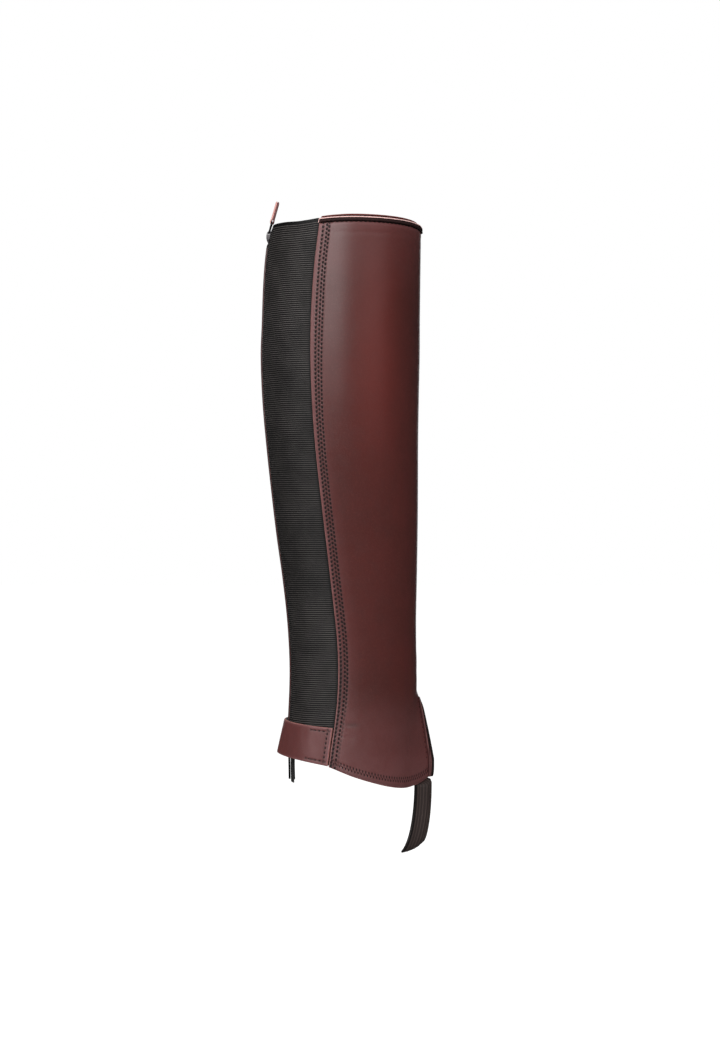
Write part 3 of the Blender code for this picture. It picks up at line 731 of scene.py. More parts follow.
def leather_material(name, red=LEATHER_RED, brown=LEATHER_BROWN, raw=RAW_PINK, rough=(0.275, 0.325),
                     shine=0.5):
    """Grained leather. Vertex attributes: raw is its cut edge, wear_and_sheen its polished edges together
    with painted sheen and painted highlights, dark its darker parts, mostly painted shade, rosy its redder
    parts, sew the distance to a row of stitches, run the place along it, slit the rows whose stitches lie
    across the line and stitched how deep they pull."""
    n = Finish(name, red, 0.45)
    patches = n.fit(n.noise(17.0, 3.0), 0.36, 0.66)
    mottle = n.noise(130.0, 2.0, 0.5)
    fine = n.noise(900.0, 3.0, 0.6)
    colour = n.blend(n.times(patches, 0.55), red, brown)
    colour = n.blend(n.fit(mottle, 0.42, 0.75, 0.0, 0.2), colour, brown)
    colour = n.blend(n.fit(fine, 0.45, 0.8, 0.0, 0.22), colour, LEATHER_FLECK)
    colour = n.blend(n.attribute("rosy"), colour, LEATHER_ROSY)
    # paler with polish and with painted sheen and highlights
    wear_and_sheen = n.times(n.attribute("wear_and_sheen"), n.fit(mottle, 0.2, 0.7, 0.8, 1.0))
    colour = n.blend(wear_and_sheen, colour, LEATHER_WEAR_AND_SHEEN)
    # darker where the dark attribute is set, mostly painted shade
    dark = n.attribute("dark")
    colour = n.blend(dark, colour, LEATHER_DARK)

    # a pit round each stitch, where the thread pulls the leather down: its near black is the needle hole
    # and painted shade in the pit
    slit = n.attribute("slit")
    side = n.times(n.attribute("sew"), n.fit(slit, 0.0, 1.0, 1.04, 0.72))
    place_on = n.maths("SUBTRACT", n.maths("FRACT", n.attribute("run")), 0.5)
    along = n.times(n.maths("ABSOLUTE", place_on), n.fit(slit, 0.0, 1.0, 2.15, 4.4))
    reach = n.maths("SQRT", n.plus(n.maths("POWER", side, 2.0), n.maths("POWER", along, 2.0)))
    stitched = n.attribute("stitched")
    pit = n.times(n.fit(reach, 1.0, 0.6), stitched)
    colour = n.blend(n.times(pit, 0.95), colour, LEATHER_PIT_SHADE)

    fibre = n.noise(1400.0, 3.0, 0.7)
    cut = n.attribute("raw")
    raw_colour = n.blend(n.fit(fibre, 0.3, 0.7), raw, RAW_DEEP if raw == RAW_PINK else raw)
    edge = n.fit(n.plus(cut, n.fit(mottle, 0.3, 0.7, -0.12, 0.12)), 0.38, 0.62)
    colour = n.blend(edge, colour, raw_colour)
    n.link(colour, "Base Color")

    gloss = n.fit(mottle, 0.3, 0.7, *rough)
    gloss = n.plus(gloss, n.times(edge, 0.35))
    gloss = n.plus(gloss, n.times(n.maths("MAXIMUM", pit, dark), 0.4))
    n.link(n.maths("MINIMUM", gloss, 0.95), "Roughness")
    n.shader.inputs["Specular IOR Level"].default_value = shine

    pores = n.cells(1900.0)
    grain = n.cells(900.0, "DISTANCE_TO_EDGE")
    height = n.plus(n.fit(pores, 0.0, 0.55, 0.0, 0.6), n.fit(grain, 0.0, 0.16, 0.0, 0.5))
    height = n.plus(height, n.times(n.noise(330.0, 3.0), 1.2))
    skin = n.bump(height, 0.00006, 0.55)
    pucker = n.maths("SUBTRACT", 1.0, n.times(n.fit(reach, 1.6, 0.5), stitched))
    skin = n.bump(pucker, 0.0002, 0.5, skin)
    wave = n.maths("COSINE", n.times(n.attribute("run"), 2.0 * math.pi))
    fade = n.times(n.fit(n.attribute("sew"), 1.5, 0.3), stitched)
    skin = n.bump(n.times(wave, fade), 0.00005, 0.6, skin)
    skin = n.bump(fibre, 0.00012, n.times(edge, 0.8), skin)
    n.link(skin, "Normal")
    return n.made


def flesh_material():
    """The leather's napped inner face."""
    n = Finish("leather_flesh", srgb(96, 66, 60), 0.92)
    tone = n.noise(60.0, 4.0, 0.6)
    nap = n.noise(1500.0, 3.0, 0.7)
    colour = n.blend(n.fit(tone, 0.35, 0.65), srgb(92, 61, 55), srgb(74, 50, 46))
    n.link(n.blend(n.fit(nap, 0.35, 0.7), colour, srgb(118, 86, 79)), "Base Color")
    n.shader.inputs["Sheen Weight"].default_value = 0.25
    n.shader.inputs["Sheen Roughness"].default_value = 0.5
    n.link(n.bump(nap, 0.00022, 0.7), "Normal")
    return n.made


def elastic_material(name, lit_crest, shaded_valley, fine=1.0):
    """Black elastic. The rib attribute runs from 0 in the valleys to 1 on the crests, which are painted
    lighter as a highlight while the valleys are painted darker as shade. The dark attribute darkens it
    further; on the gusset that is painted shade.
    """
    n = Finish(name, srgb(45, 42, 41), 0.7)
    rib = n.attribute("rib")
    thread = n.noise(1.0, 2.0, 0.6, n.stretched(2600.0, 2600.0, 500.0))
    bright = n.fit(n.noise(42.0, 3.0), 0.3, 0.7, 0.55, 1.0)
    # painted light on the ribs: lit crests and shaded valleys
    ridge = n.maths("POWER", n.fit(rib, 0.3, 1.0), 2.2)
    colour = n.blend(n.times(ridge, bright), shaded_valley, lit_crest)
    # pale yarn flecks on the crests, adding to the painted highlight
    lint = n.times(n.fit(thread, 0.5, 0.75, 0.0, 0.45 * fine), ridge)
    colour = n.blend(lint, colour, srgb(104, 99, 97))
    n.link(n.blend(n.attribute("dark"), colour, srgb(14, 12, 12)), "Base Color")
    n.link(n.fit(thread, 0.3, 0.7, 0.42, 0.62), "Roughness")
    n.shader.inputs["Specular IOR Level"].default_value = 0.34
    n.link(n.bump(thread, 0.00012, 0.6), "Normal")
    return n.made


def woven_material():
    """The zip's woven tape."""
    n = Finish("zip_tape_woven", srgb(34, 32, 33), 0.8)
    warp = n.add("ShaderNodeTexWave", {"Vector": n.coords, "Scale": 230.0, "Distortion": 0.4,
                                       "Detail": 1.0}, bands_direction="Z").outputs["Fac"]
    fuzz = n.noise(2200.0, 2.0)
    n.link(n.blend(n.fit(warp, 0.2, 0.8), srgb(19, 18, 18), srgb(46, 44, 44)), "Base Color")
    n.link(n.fit(fuzz, 0.3, 0.7, 0.65, 0.9), "Roughness")
    n.link(n.bump(n.plus(warp, n.times(fuzz, 0.5)), 0.00018, 0.7), "Normal")
    return n.made


def coil_material():
    n = Finish("zip_coil_nylon", srgb(38, 37, 37), 0.42)
    tone = n.noise(260.0, 3.0)
    n.link(n.blend(n.fit(tone, 0.35, 0.65), srgb(30, 29, 29), srgb(54, 52, 51)), "Base Color")
    n.link(n.fit(tone, 0.3, 0.7, 0.34, 0.5), "Roughness")
    n.link(n.bump(n.noise(2400.0, 2.0), 0.00005, 0.5), "Normal")
    return n.made


def thread_material(name="sewing_thread", dark=THREAD, light=srgb(58, 32, 30)):
    """Twisted thread."""
    n = Finish(name, dark, 0.6)
    twist = n.noise(1.0, 2.0, 0.5, n.stretched(2600.0, 2600.0, 2600.0))
    n.link(n.blend(n.fit(twist, 0.42, 0.72), dark, light), "Base Color")
    n.link(n.fit(twist, 0.3, 0.7, 0.55, 0.75), "Roughness")
    n.shader.inputs["Specular IOR Level"].default_value = 0.2
    n.link(n.bump(twist, 0.00015, 0.8), "Normal")
    return n.made


def nickel_material(name, light, dull, gloss):
    """Plated metal, hazed and finely scratched."""
    n = Finish(name, light, 0.22, 1.0)
    haze = n.noise(300.0, 4.0, 0.6)
    scratches = n.noise(1.0, 3.0, 0.6, n.stretched(700.0, 700.0, 5200.0))
    n.link(n.blend(n.fit(haze, 0.35, 0.7), light, dull), "Base Color")
    n.link(n.plus(n.fit(haze, 0.3, 0.7, *gloss), n.fit(scratches, 0.55, 0.75, 0.0, 0.12)),
           "Roughness")
    n.link(n.bump(n.plus(haze, scratches), 0.00003, 0.35), "Normal")
    return n.made


# ---------------------------------------------------------------- the leather wrap

EDGE_STEPS = np.array([0.0, 0.06, 0.2, 0.42, 0.7, 1.0, 1.5])
ZIP_BETWEEN = (3.6, 5.1, 6.3)    # lines of points between the rows beside the zip
SEAM_ZONE = 14.0                 # the close lines of points reach this far in from each edge
HEM_ZONE = 12.0
ZIP_ZONE = 13.0
HEM_LEVEL = -315.0


def between(start, end, count):
    """A row of values from start to end."""
    return mix(start, end, np.linspace(0.0, 1.0, count))


def row_stops(rows, last, spread=0.5):
    """Distances from an edge with a line on each row of stitches and on both sides of it."""
    made = list(EDGE_STEPS)
    for row in rows:
        made += [row - spread * 2.0, row - spread, row, row + spread]
    made += [rows[-1] + spread * 2.2, rows[-1] + spread * 4.5]
    made = sorted(set(round(value, 3) for value in made if value >= 0.0))
    kept = [made[0]]
    for value in made[1:]:
        if value - kept[-1] > 0.05 and value < last:
            kept.append(value)
    return np.array(kept + [last])


CREASES = (
    # girth, height, tilt from level, half length, half width, depth
    (90.0, -281.2, -3.0, 5.8, 1.6, 0.2),
    (96.0, -290.0, -12.0, 8.0, 1.6, 0.08),
    (63.0, -297.0, -82.0, 15.0, 2.4, 0.16),
    (55.0, -301.0, 86.0, 19.0, 2.0, 0.18),
    (49.0, -306.0, 80.0, 13.0, 1.8, 0.14),
    (70.0, -306.0, 58.0, 9.0, 1.6, 0.13),
    (84.0, -309.0, 70.0, 7.0, 1.4, 0.12),
    (40.0, -308.0, -72.0, 9.0, 1.5, 0.12),
    (26.0, -296.0, 78.0, 16.0, 2.2, 0.16),
    (60.0, 88.2, 0.0, 60.0, 1.5, 0.24),
    (0.0, 87.6, 0.0, 50.0, 1.6, 0.22),
    (-70.0, 87.4, 0.0, 55.0, 1.6, 0.22),
    (66.0, 40.0, 62.0, 34.0, 7.0, 0.16),
    (44.0, -30.0, 84.0, 46.0, 8.0, 0.18),
    (72.0, -96.0, -70.0, 40.0, 8.0, 0.16),
    (50.0, -176.0, 78.0, 44.0, 7.0, 0.20),
    (78.0, -214.0, 22.0, 17.0, 4.0, 0.14),
    (34.0, -232.0, -18.0, 22.0, 4.5, 0.20),
    (20.0, -219.0, 8.0, 20.0, 4.0, 0.16),
    (12.0, -244.0, 12.0, 22.0, 4.0, 0.22),
    (-6.0, -226.0, -6.0, 20.0, 4.5, 0.20),
    (-28.0, -238.0, 16.0, 24.0, 4.5, 0.24),
    (-48.0, -222.0, -14.0, 22.0, 4.2, 0.20),
    (-66.0, -246.0, -20.0, 24.0, 5.0, 0.22),
    (-92.0, -228.0, 14.0, 20.0, 4.5, 0.22),
    (-60.0, -284.0, -74.0, 18.0, 2.4, 0.18),
    (-78.0, -300.0, 80.0, 14.0, 2.0, 0.16),
    (-96.0, -290.0, 68.0, 14.0, 2.2, 0.18),
    (-52.0, 30.0, 70.0, 42.0, 7.0, 0.18),
    (-96.0, -20.0, -80.0, 50.0, 8.0, 0.20),
    (-70.0, -110.0, 76.0, 46.0, 8.0, 0.20),
    (-120.0, -150.0, 82.0, 44.0, 7.0, 0.22),
    (-146.0, 10.0, -84.0, 46.0, 7.0, 0.18),
    (-150.0, -226.0, 10.0, 16.0, 4.0, 0.22),
    (-138.0, -250.0, -12.0, 18.0, 4.0, 0.22),
)


def hem_row(girth, step):
    """A distance from the hem, moved so that the nominal rows lie on the sewn ones."""
    first, second = read(HEM_ROWS, girth, 1), read(HEM_ROWS, girth, 2)
    low, high = HEM_NOMINAL
    if step <= 1.0:
        return 0.0 * first + step
    if step <= low:
        return mix(1.0, first, (step - 1.0) / (low - 1.0))
    if step <= high:
        return mix(first, second, (step - low) / (high - low))
    return mix(second, HEM_ZONE, (step - high) / (HEM_ZONE - high))


def hem_slope(girth):
    """Cosine of the hem's slope."""
    step = 0.5
    rise = read(HEM, girth + step) - read(HEM, girth - step)
    level = np.radians(2 * step) * half_width(HEM_LEVEL)
    return np.cos(np.arctan2(rise, level))


def wrap_grid():
    """Girths, heights and the heights of the top and the foot, for a grid over the whole wrap."""
    seam_steps = row_stops(SEAM_NOMINAL, SEAM_ZONE)
    zip_steps = np.sort(np.concatenate([row_stops(ZIP_ROWS, ZIP_ZONE), ZIP_BETWEEN]))[::-1]
    body_top, body_foot = 66.0, -282.0
    body = np.concatenate([np.linspace(body_top, -270.0, 137), np.linspace(-271.2, body_foot, 10)])
    top_steps = np.concatenate([EDGE_STEPS, [2.2, 3.2, 4.6, 6.0, 7.4, 8.6, 9.8, 11.0, 12.4, 14.0]])
    foot_steps = row_stops(HEM_NOMINAL, HEM_ZONE)[::-1]
    shin = 26.0
    dart = np.array([20.0, 15.0, 11.0, 8.0, 6.0, 4.6, 3.4, 2.4, 1.5, 0.7])

    def columns(level):
        """Girths of one row's points, from the seam round the shin to the zip."""
        rows = [float(read(SEAM_ROWS, level, k)) for k in (1, 2, 3)]
        moved = np.interp(seam_steps, [0.0, 1.0, *SEAM_NOMINAL, SEAM_ZONE], [0.0, 1.0, *rows, SEAM_ZONE])
        near = seam_girth(level) - degrees_for(moved, level)
        far = -180.0 + degrees_for(PANEL_EDGE + zip_steps, level)
        return np.concatenate([near, between(near[-1], shin, 30)[1:], dart, [0.0], -dart[::-1], [-shin],
                               between(-shin, far[0], 66)[1:], far[1:]])

    def corner(girth, level):
        return np.where(girth < 0, corner_drop(from_zip(girth, level) - PANEL_EDGE), 0.0)

    def top_of(girth):
        return band_foot(girth) - GAP - corner(girth, 90.0)

    def foot_of(girth):
        return read(HEM, girth) + corner(girth, -303.0)

    rows = []
    for step in top_steps:
        girth = columns(94.0 - step)
        rows.append((girth, top_of(girth) - step))
    for share in between(0.0, 1.0, 8)[1:-1]:
        girth = columns(mix(80.0, body_top, share))
        rows.append((girth, mix(top_of(girth) - top_steps[-1], body[0], share)))
    for level in body:
        girth = columns(level)
        rows.append((girth, np.full_like(girth, level)))
    for share in between(0.0, 1.0, 24)[1:-1]:
        girth = columns(mix(body_foot, -303.0, share))
        rows.append((girth, mix(body[-1], foot_of(girth) + foot_steps[0] / hem_slope(girth), share)))
    for step in foot_steps:
        girth = columns(HEM_LEVEL + step)
        rows.append((girth, foot_of(girth) + hem_row(girth, step) / hem_slope(girth)))
    girth, height = (np.array(column) for column in zip(*rows))
    return girth, height, top_of(girth), foot_of(girth)


def runs(values, falling, line):
    """Distance along a line of points, at values of what falls along it."""
    return np.interp(-values, -falling, run_length(line))


def seam_runs(heights):
    """Distance along the leather's edge beside the elastic, for heights."""
    level = np.linspace(100.0, -322.0, 500)
    return runs(heights, level, place(seam_girth(level), level, ELASTIC + GAP + LEATHER))


def hem_runs(girth):
    """Distance along the hem, for girths."""
    turn = np.linspace(122.0, -180.0, 900)
    return runs(girth, turn, place(turn, read(HEM, turn), wrap_outside(turn)))


def zip_runs(heights):
    """Distance along the wrap's edge beside the zip, for heights."""
    level = np.linspace(95.0, -306.0, 300)
    return runs(heights, level, place(-180.0 + degrees_for(PANEL_EDGE, level), level, TURNED_EDGE))


def third_row_sinks(height):
    """0 to 1 towards the hem, where the third row beside the elastic sinks into the leather."""
    return ease((-height - 250.0) / 30.0)


def nearest_row(girth, height, from_seam, from_top, from_hem, to_zip):
    """Distance to the nearest row of stitches, the run along it, and which row it is: 0 to 2 beside
    the elastic, 3 and 4 at the hem, 5 and 6 beside the zip and 7 at the top."""
    gaps, places = [], []
    for k, phase in zip((1, 2, 3), SEAM_PHASES):
        gaps.append(np.abs(from_seam - read(SEAM_ROWS, height, k)))
        places.append(seam_runs(height) / SEAM_PITCH - phase + 0.5)
    for k, phase in zip((1, 2), HEM_PHASES):
        gaps.append(np.where(girth < 116.0, np.abs(from_hem - read(HEM_ROWS, girth, k)), FAR))
        places.append(hem_runs(girth) / HEM_PITCH - phase + 0.5)
    for row, phase in zip(ZIP_ROWS, ZIP_PHASES):
        gaps.append(np.abs(to_zip - row))
        places.append(zip_runs(height) / ZIP_PITCH - phase + 0.5)
    gaps.append(np.abs(from_top))
    places.append(hem_runs(girth) / RIM_PITCH)
    nearest = np.array(gaps).argmin(0)[None]
    return (*(np.take_along_axis(np.array(each), nearest, 0)[0] for each in (gaps, places)), nearest[0])


def wrap_leather(leather, flesh):
    """The wrap, with its pits and puckers along each row of stitches."""
    girth, height, top, foot = wrap_grid()
    from_seam = np.radians(seam_girth(height) - girth) * half_width(height)
    to_zip = np.where(girth < 0, from_zip(np.minimum(girth, 0.0), height) - PANEL_EDGE, 200.0)
    from_top = top - height
    from_hem = (height - foot) * hem_slope(girth)
    edge = least(from_seam, to_zip, from_top, from_hem)
    sewn, run, row = nearest_row(girth, height, from_seam, from_top, from_hem, to_zip)

    # the creases, puckers fanning up from the hem, and the leather pulled down along each row
    relief = creases(CREASES, girth, height)
    along = hem_runs(girth)
    fan = np.sin(along * 1.31) * np.sin(along * 0.43 + 1.0) + 0.7 * np.sin(along * 2.2 + 0.6)
    relief += 0.09 * fan * peak(from_hem - read(HEM_ROWS, girth, 2), 2.6, 2.4)
    relief -= 0.12 * peak(sewn, 0.0, 0.55)
    raised = (from_seam > 1.5) & (from_seam < 11.0)
    relief += 0.10 * np.where(raised, 1.0, 0.0) * peak(sewn, 1.1, 0.6)
    relief = relief * ease(edge / 1.2)

    # paler at its edges, partly polish and partly painted highlight; painted highlight on the fold's side
    # wall beside the zip; painted sheen towards the foot, over the upper part and under the band; painted
    # shade under the band, on the fold's outer face beside the zip and in the dent above the tab; darker
    # along the hem and along the first row low down
    cut = fall(np.minimum(from_seam, from_top), 0.05, 0.7)
    # painted highlight on the fold's side wall beside the zip, strongest high up
    zip_fold_highlight = 0.1 + 0.65 * ease((height - 45.0) / 25.0)
    # paler beside the seam edge and at the hem: partly polish and partly painted highlight on the rounded
    # edges
    wear_and_sheen = 0.34 * fall(from_seam, 1.0, 2.4) + 0.12 * fall(from_seam, 7.0, 5.0)
    wear_and_sheen += 0.12 * fall(from_hem, 0.8, 2.0) + zip_fold_highlight * fall(to_zip, 0.0, 0.06)
    # painted sheen: paler towards the foot, where the flap flares up to the lamps, and over the upper part
    wear_and_sheen += (0.22 * ease((-height - 250.0) / 40.0) + 0.14 * ease((-height - 295.0) / 26.0)
             + 0.1 * ease((height - 30.0) / 60.0))
    # painted sheen on the raised strip just under the band
    wear_and_sheen += 0.2 * peak(from_top, 1.7, 1.2) + 0.04 * fall(from_top, 8.0, 5.0)
    # painted shade under the band, and a darker line along the hem
    dark = 0.6 * fall(from_top, 0.0, 0.6) + 0.25 * peak(from_hem, 1.5, 0.9)
    # painted shade on the fold's outer face beside the zip
    dark += 0.85 * ease(to_zip / 0.12) * fall(to_zip, 2.0, 1.5)
    dark += 0.95 * ease((-height - 215.0) / 30.0) * peak(from_seam - read(SEAM_ROWS, height, 1), 0.0, 0.62)
    # painted shade in the dent above the tab
    dark += 0.34 * np.exp(-((girth - 90.0) / 6.5) ** 2 - ((height + 281.4) / 1.9) ** 2)
    rosy = 0.5 * np.exp(-((np.abs(girth) - 64.0) / 18.0) ** 2 - ((height - 5.0) / 85.0) ** 2)
    attributes = {"sew": sewn, "run": run, "slit": ((row == 3) | (row == 4)) * 1.0,
                  "stitched": 1.0 - 0.65 * (row == 2) * third_row_sinks(height),
                  "raw": np.maximum(cut * (from_seam < 2.0), fall(from_hem, 0.0, 0.7)),
                  "rosy": rosy, "wear_and_sheen": np.clip(wear_and_sheen, 0.0, 1.0), "dark": np.clip(dark, 0.0, 1.0)}
    piece = shell("wrap_leather", girth, height, wrap_inside(girth), wrap_outside(girth), edge,
                  (leather, flesh), relief, 0.95, attributes)
    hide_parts("main_panel")
    return piece


def wrap_stitches(thread):
    """The wrap's rows of stitches: three beside the elastic, two at the hem, two beside the zip."""
    begins, ends = SEAM_SEWN
    level = np.linspace(begins + 0.4, ends - 3.0, 600)
    rows = []
    for k, phase in zip((1, 2, 3), SEAM_PHASES):
        girth = seam_girth(level) - degrees_for(read(SEAM_ROWS, level, k), level)
        sunk = STITCH_SINKS + 0.3 * (k == 3) * third_row_sinks(level)
        rows.append(sew(girth, level, wrap_outside(girth) - sunk, SEAM_PITCH, phase,
                        seam_runs(level), seam_runs(begins) + 1.0, seam_runs(ends)))
    stitches("seam", rows, thread)

    begins, ends = HEM_SEWN
    turn = np.linspace(begins, ends - 1.0, 900)
    rows = []
    for k, phase in zip((1, 2), HEM_PHASES):
        height = read(HEM, turn) + read(HEM_ROWS, turn, k) / hem_slope(turn)
        spots, ways, outs = sew(turn, height, wrap_outside(turn) - HEM_SINKS, HEM_PITCH, phase,
                                hem_runs(turn), hem_runs(begins) + 1.0, hem_runs(ends))
        rows.append((spots, unit(np.cross(outs, ways)), outs))
    stitches("hem", rows, thread)

    begins, ends = ZIP_SEWN
    level = np.linspace(begins + 2.0, ends - 2.0, 600)
    rows = []
    for row, phase in zip(ZIP_ROWS, ZIP_PHASES):
        girth = -180.0 + degrees_for(PANEL_EDGE + row, level)
        rows.append(sew(girth, level, wrap_outside(girth) - STITCH_SINKS, ZIP_PITCH, phase,
                        zip_runs(level), zip_runs(begins), zip_runs(ends)))
    stitches("zip_side", rows, thread)


# ---------------------------------------------------------------- rim, dart and tab

def rim_strip(drops, deep, last):
    """A strip along the top edge, that ends this far from the zip: its girths, and the distances from
    its top, its ends and its nearest edge."""
    seam = seam_girth(RIM_LEVEL)
    near = seam - degrees_for(EDGE_STEPS, RIM_LEVEL)
    far = -180.0 + degrees_for(last + EDGE_STEPS[::-1], RIM_LEVEL)
    columns = np.concatenate([near, between(near[-1], far[0], 210)[1:], far[1:]])
    girth = np.broadcast_to(columns, (len(drops), len(columns)))
    down = np.broadcast_to(drops[:, None], girth.shape)
    from_end = np.minimum(np.radians(seam - girth) * half_width(RIM_LEVEL),
                          np.radians(girth + 180.0) * half_width(RIM_LEVEL) - last)
    return girth, down, from_end, least(down, deep - down, from_end)


def rim_band(leather, thread):
    """The folded band round the top edge, with a cut upper edge and a close row of stitches."""
    drops = np.concatenate([EDGE_STEPS[:5], [0.85, 1.0, 1.25, 1.7, 2.15], BAND_HEIGHT - EDGE_STEPS[4::-1]])
    girth, down, from_end, edge = rim_strip(drops, BAND_HEIGHT, PANEL_EDGE)
    outside = wrap_outside(girth) + BAND_PROUD

    # a groove below its cut edge, one along its stitches, and slight waves round it
    relief = -0.28 * peak(down, 1.25, 0.28) - 0.2 * peak(down, 2.7, 0.4)
    relief = relief + 0.05 * np.sin(girth * 2.1) + 0.04 * np.sin(girth * 5.3 + 1.0)
    # a painted shadow line just under the cut edge, easing to a slightly darker face below, and a lighter
    # line just above the stitches
    attributes = {"raw": np.maximum(fall(down, 0.62, 0.36), fall(from_end, 0.3, 0.4)),
                  "dark": np.clip(ease((down - 0.75) / 0.25) - 0.45 * ease((down - 1.2) / 0.5), 0.0, 1.0),
                  "wear_and_sheen": 0.22 * peak(down, 2.1, 0.45)}
    piece = shell("rim_band_leather", girth, band_top(girth) - down, outside - BAND, outside, edge, leather,
                  relief * ease(edge / 0.8), 0.7, attributes)
    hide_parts("rim_band")
    turn = np.linspace(seam_girth(97.0) - 1.5, -180.0 + degrees_for(PANEL_EDGE + 1.5, 97.0), 900)
    row = sew(turn, band_top(turn) - RIM_ROW, wrap_outside(turn) + BAND_PROUD - RIM_SINKS, RIM_PITCH, 0.5)
    stitches("rim", [row], thread)


def rim_facing(leather):
    """The dark strip sewn inside the top edge."""
    drops = np.concatenate([EDGE_STEPS[:6], np.linspace(2.0, FACING_HEIGHT - 2.0, 9),
                            FACING_HEIGHT - EDGE_STEPS[5::-1]])
    girth, down, _, edge = rim_strip(drops, FACING_HEIGHT, FACING_EDGE)
    lap_end = seam_girth(RIM_LEVEL) - degrees_for(LAP, RIM_LEVEL) - 2.0
    outside = mix(-GAP, wrap_inside(girth) - GAP, ease((lap_end - girth) / 10.0))
    attributes = {"dark": 0.8 * ease((down - 0.7) / 0.4) - 0.45 * ease((down - 2.5) / 3.0),
                  "rosy": fall(down, 0.5, 0.5)}
    piece = shell("rim_facing_leather", girth, read(RIM, girth) - down, outside - FACING, outside, edge,
                  leather, 0.0, 0.5, attributes)
    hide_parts("rim_facing")
    return piece


def welt_half(height):
    return mix(*WELT_HALF, (DART_TOP - height) / (DART_TOP - DART_FOOT))


def dart_welt(leather, thread):
    """The strip that caps the dart's ridge: a middle darkened with painted shade, standing in for the unlit
    gap on the ridge, between two pale skived edges that split towards the hem, and the row of stitches
    beside each."""
    ends = np.array([0.0, 0.06, 0.3, 0.7, 1.2])
    heights = np.concatenate([WELT_TOP - ends, np.linspace(WELT_TOP - 1.2, WELT_FOOT + 1.2, 44)[1:-1],
                              WELT_FOOT + ends[::-1]])
    half = welt_half(heights)[:, None]
    shares = np.array([1.0, 0.985, 0.95, 0.88, 0.78, 0.66, 0.54, 0.42, 0.3, 0.2, 0.1, 0.04])
    shares = np.concatenate([shares, [0.0], -shares[::-1]])
    girth = degrees_for(half, heights[:, None]) * shares
    height = np.broadcast_to(heights[:, None], girth.shape)
    from_edge = half - np.abs(shares) * half
    edge = least(from_edge, WELT_TOP - height, height - WELT_FOOT)
    low = wrap_outside(girth) + GAP

    # each pale edge parts into two lines near the hem
    split = ease((-301.0 - height) / 5.0)
    pale = np.exp(-((from_edge - 0.35) / 0.42) ** 4)
    pale = np.maximum(pale * mix(1.0, 0.8, split), split * np.exp(-((from_edge - 1.55) / 0.34) ** 4))
    # painted shade over its middle; pale cut and polished skived edges
    attributes = {"dark": np.clip(0.88 * (1.0 - pale), 0.0, 1.0),
                  "raw": pale * mix(0.4, 0.58, ease((-280.0 - height) / 20.0)),
                  "wear_and_sheen": 0.85 * pale}
    relief = -0.26 * split * peak(from_edge, 0.95, 0.3)
    skived = mix(0.35, 1.0, ease((WELT_TOP - height) / 9.0))
    thinned = np.clip((WELT_THINS - height) / (WELT_THINS - WELT_FOOT), 0.0, 1.0)
    skived = skived * np.sqrt(1.0 - 0.9 * thinned ** 2)
    piece = shell("dart_welt_leather", girth, height, low, low + WELT * skived, edge, leather,
                  relief, 0.52, attributes)
    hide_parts("dart_welt")

    level = np.linspace(WELT_TOP - 2.0, -311.0, 120)
    away = degrees_for(welt_half(level) + DART_ROW, level)
    rows = [sew(turn, level, wrap_outside(turn) - STITCH_SINKS, DART_PITCH, 0.5) for turn in (away, -away)]
    stitches("dart", rows, thread)


def tab_offset(girth, height):
    """Offset of the tab's inner face."""
    top = read(TAB_RUN, girth, 1)
    foot = read(TAB_RUN, girth, 2)
    share = (top - height) / (top - foot)
    return mix(read(TAB_RUN, girth, 3), read(TAB_RUN, girth, 4), share)


TAB_CREASES = (
    # girth, height, tilt, half length, half width, depth
    (108.0, -292.0, 84.0, 9.0, 2.0, 0.16),
    (121.0, -298.0, -80.0, 12.0, 3.0, 0.22),
    (134.0, -290.0, 86.0, 13.0, 3.0, 0.22),
    (150.0, -295.0, 80.0, 14.0, 3.2, 0.26),
    (171.0, -292.0, -84.0, 15.0, 3.0, 0.30),
    (192.0, -294.0, 82.0, 14.0, 3.2, 0.30),
    (209.0, -290.0, -78.0, 13.0, 3.0, 0.24),
)


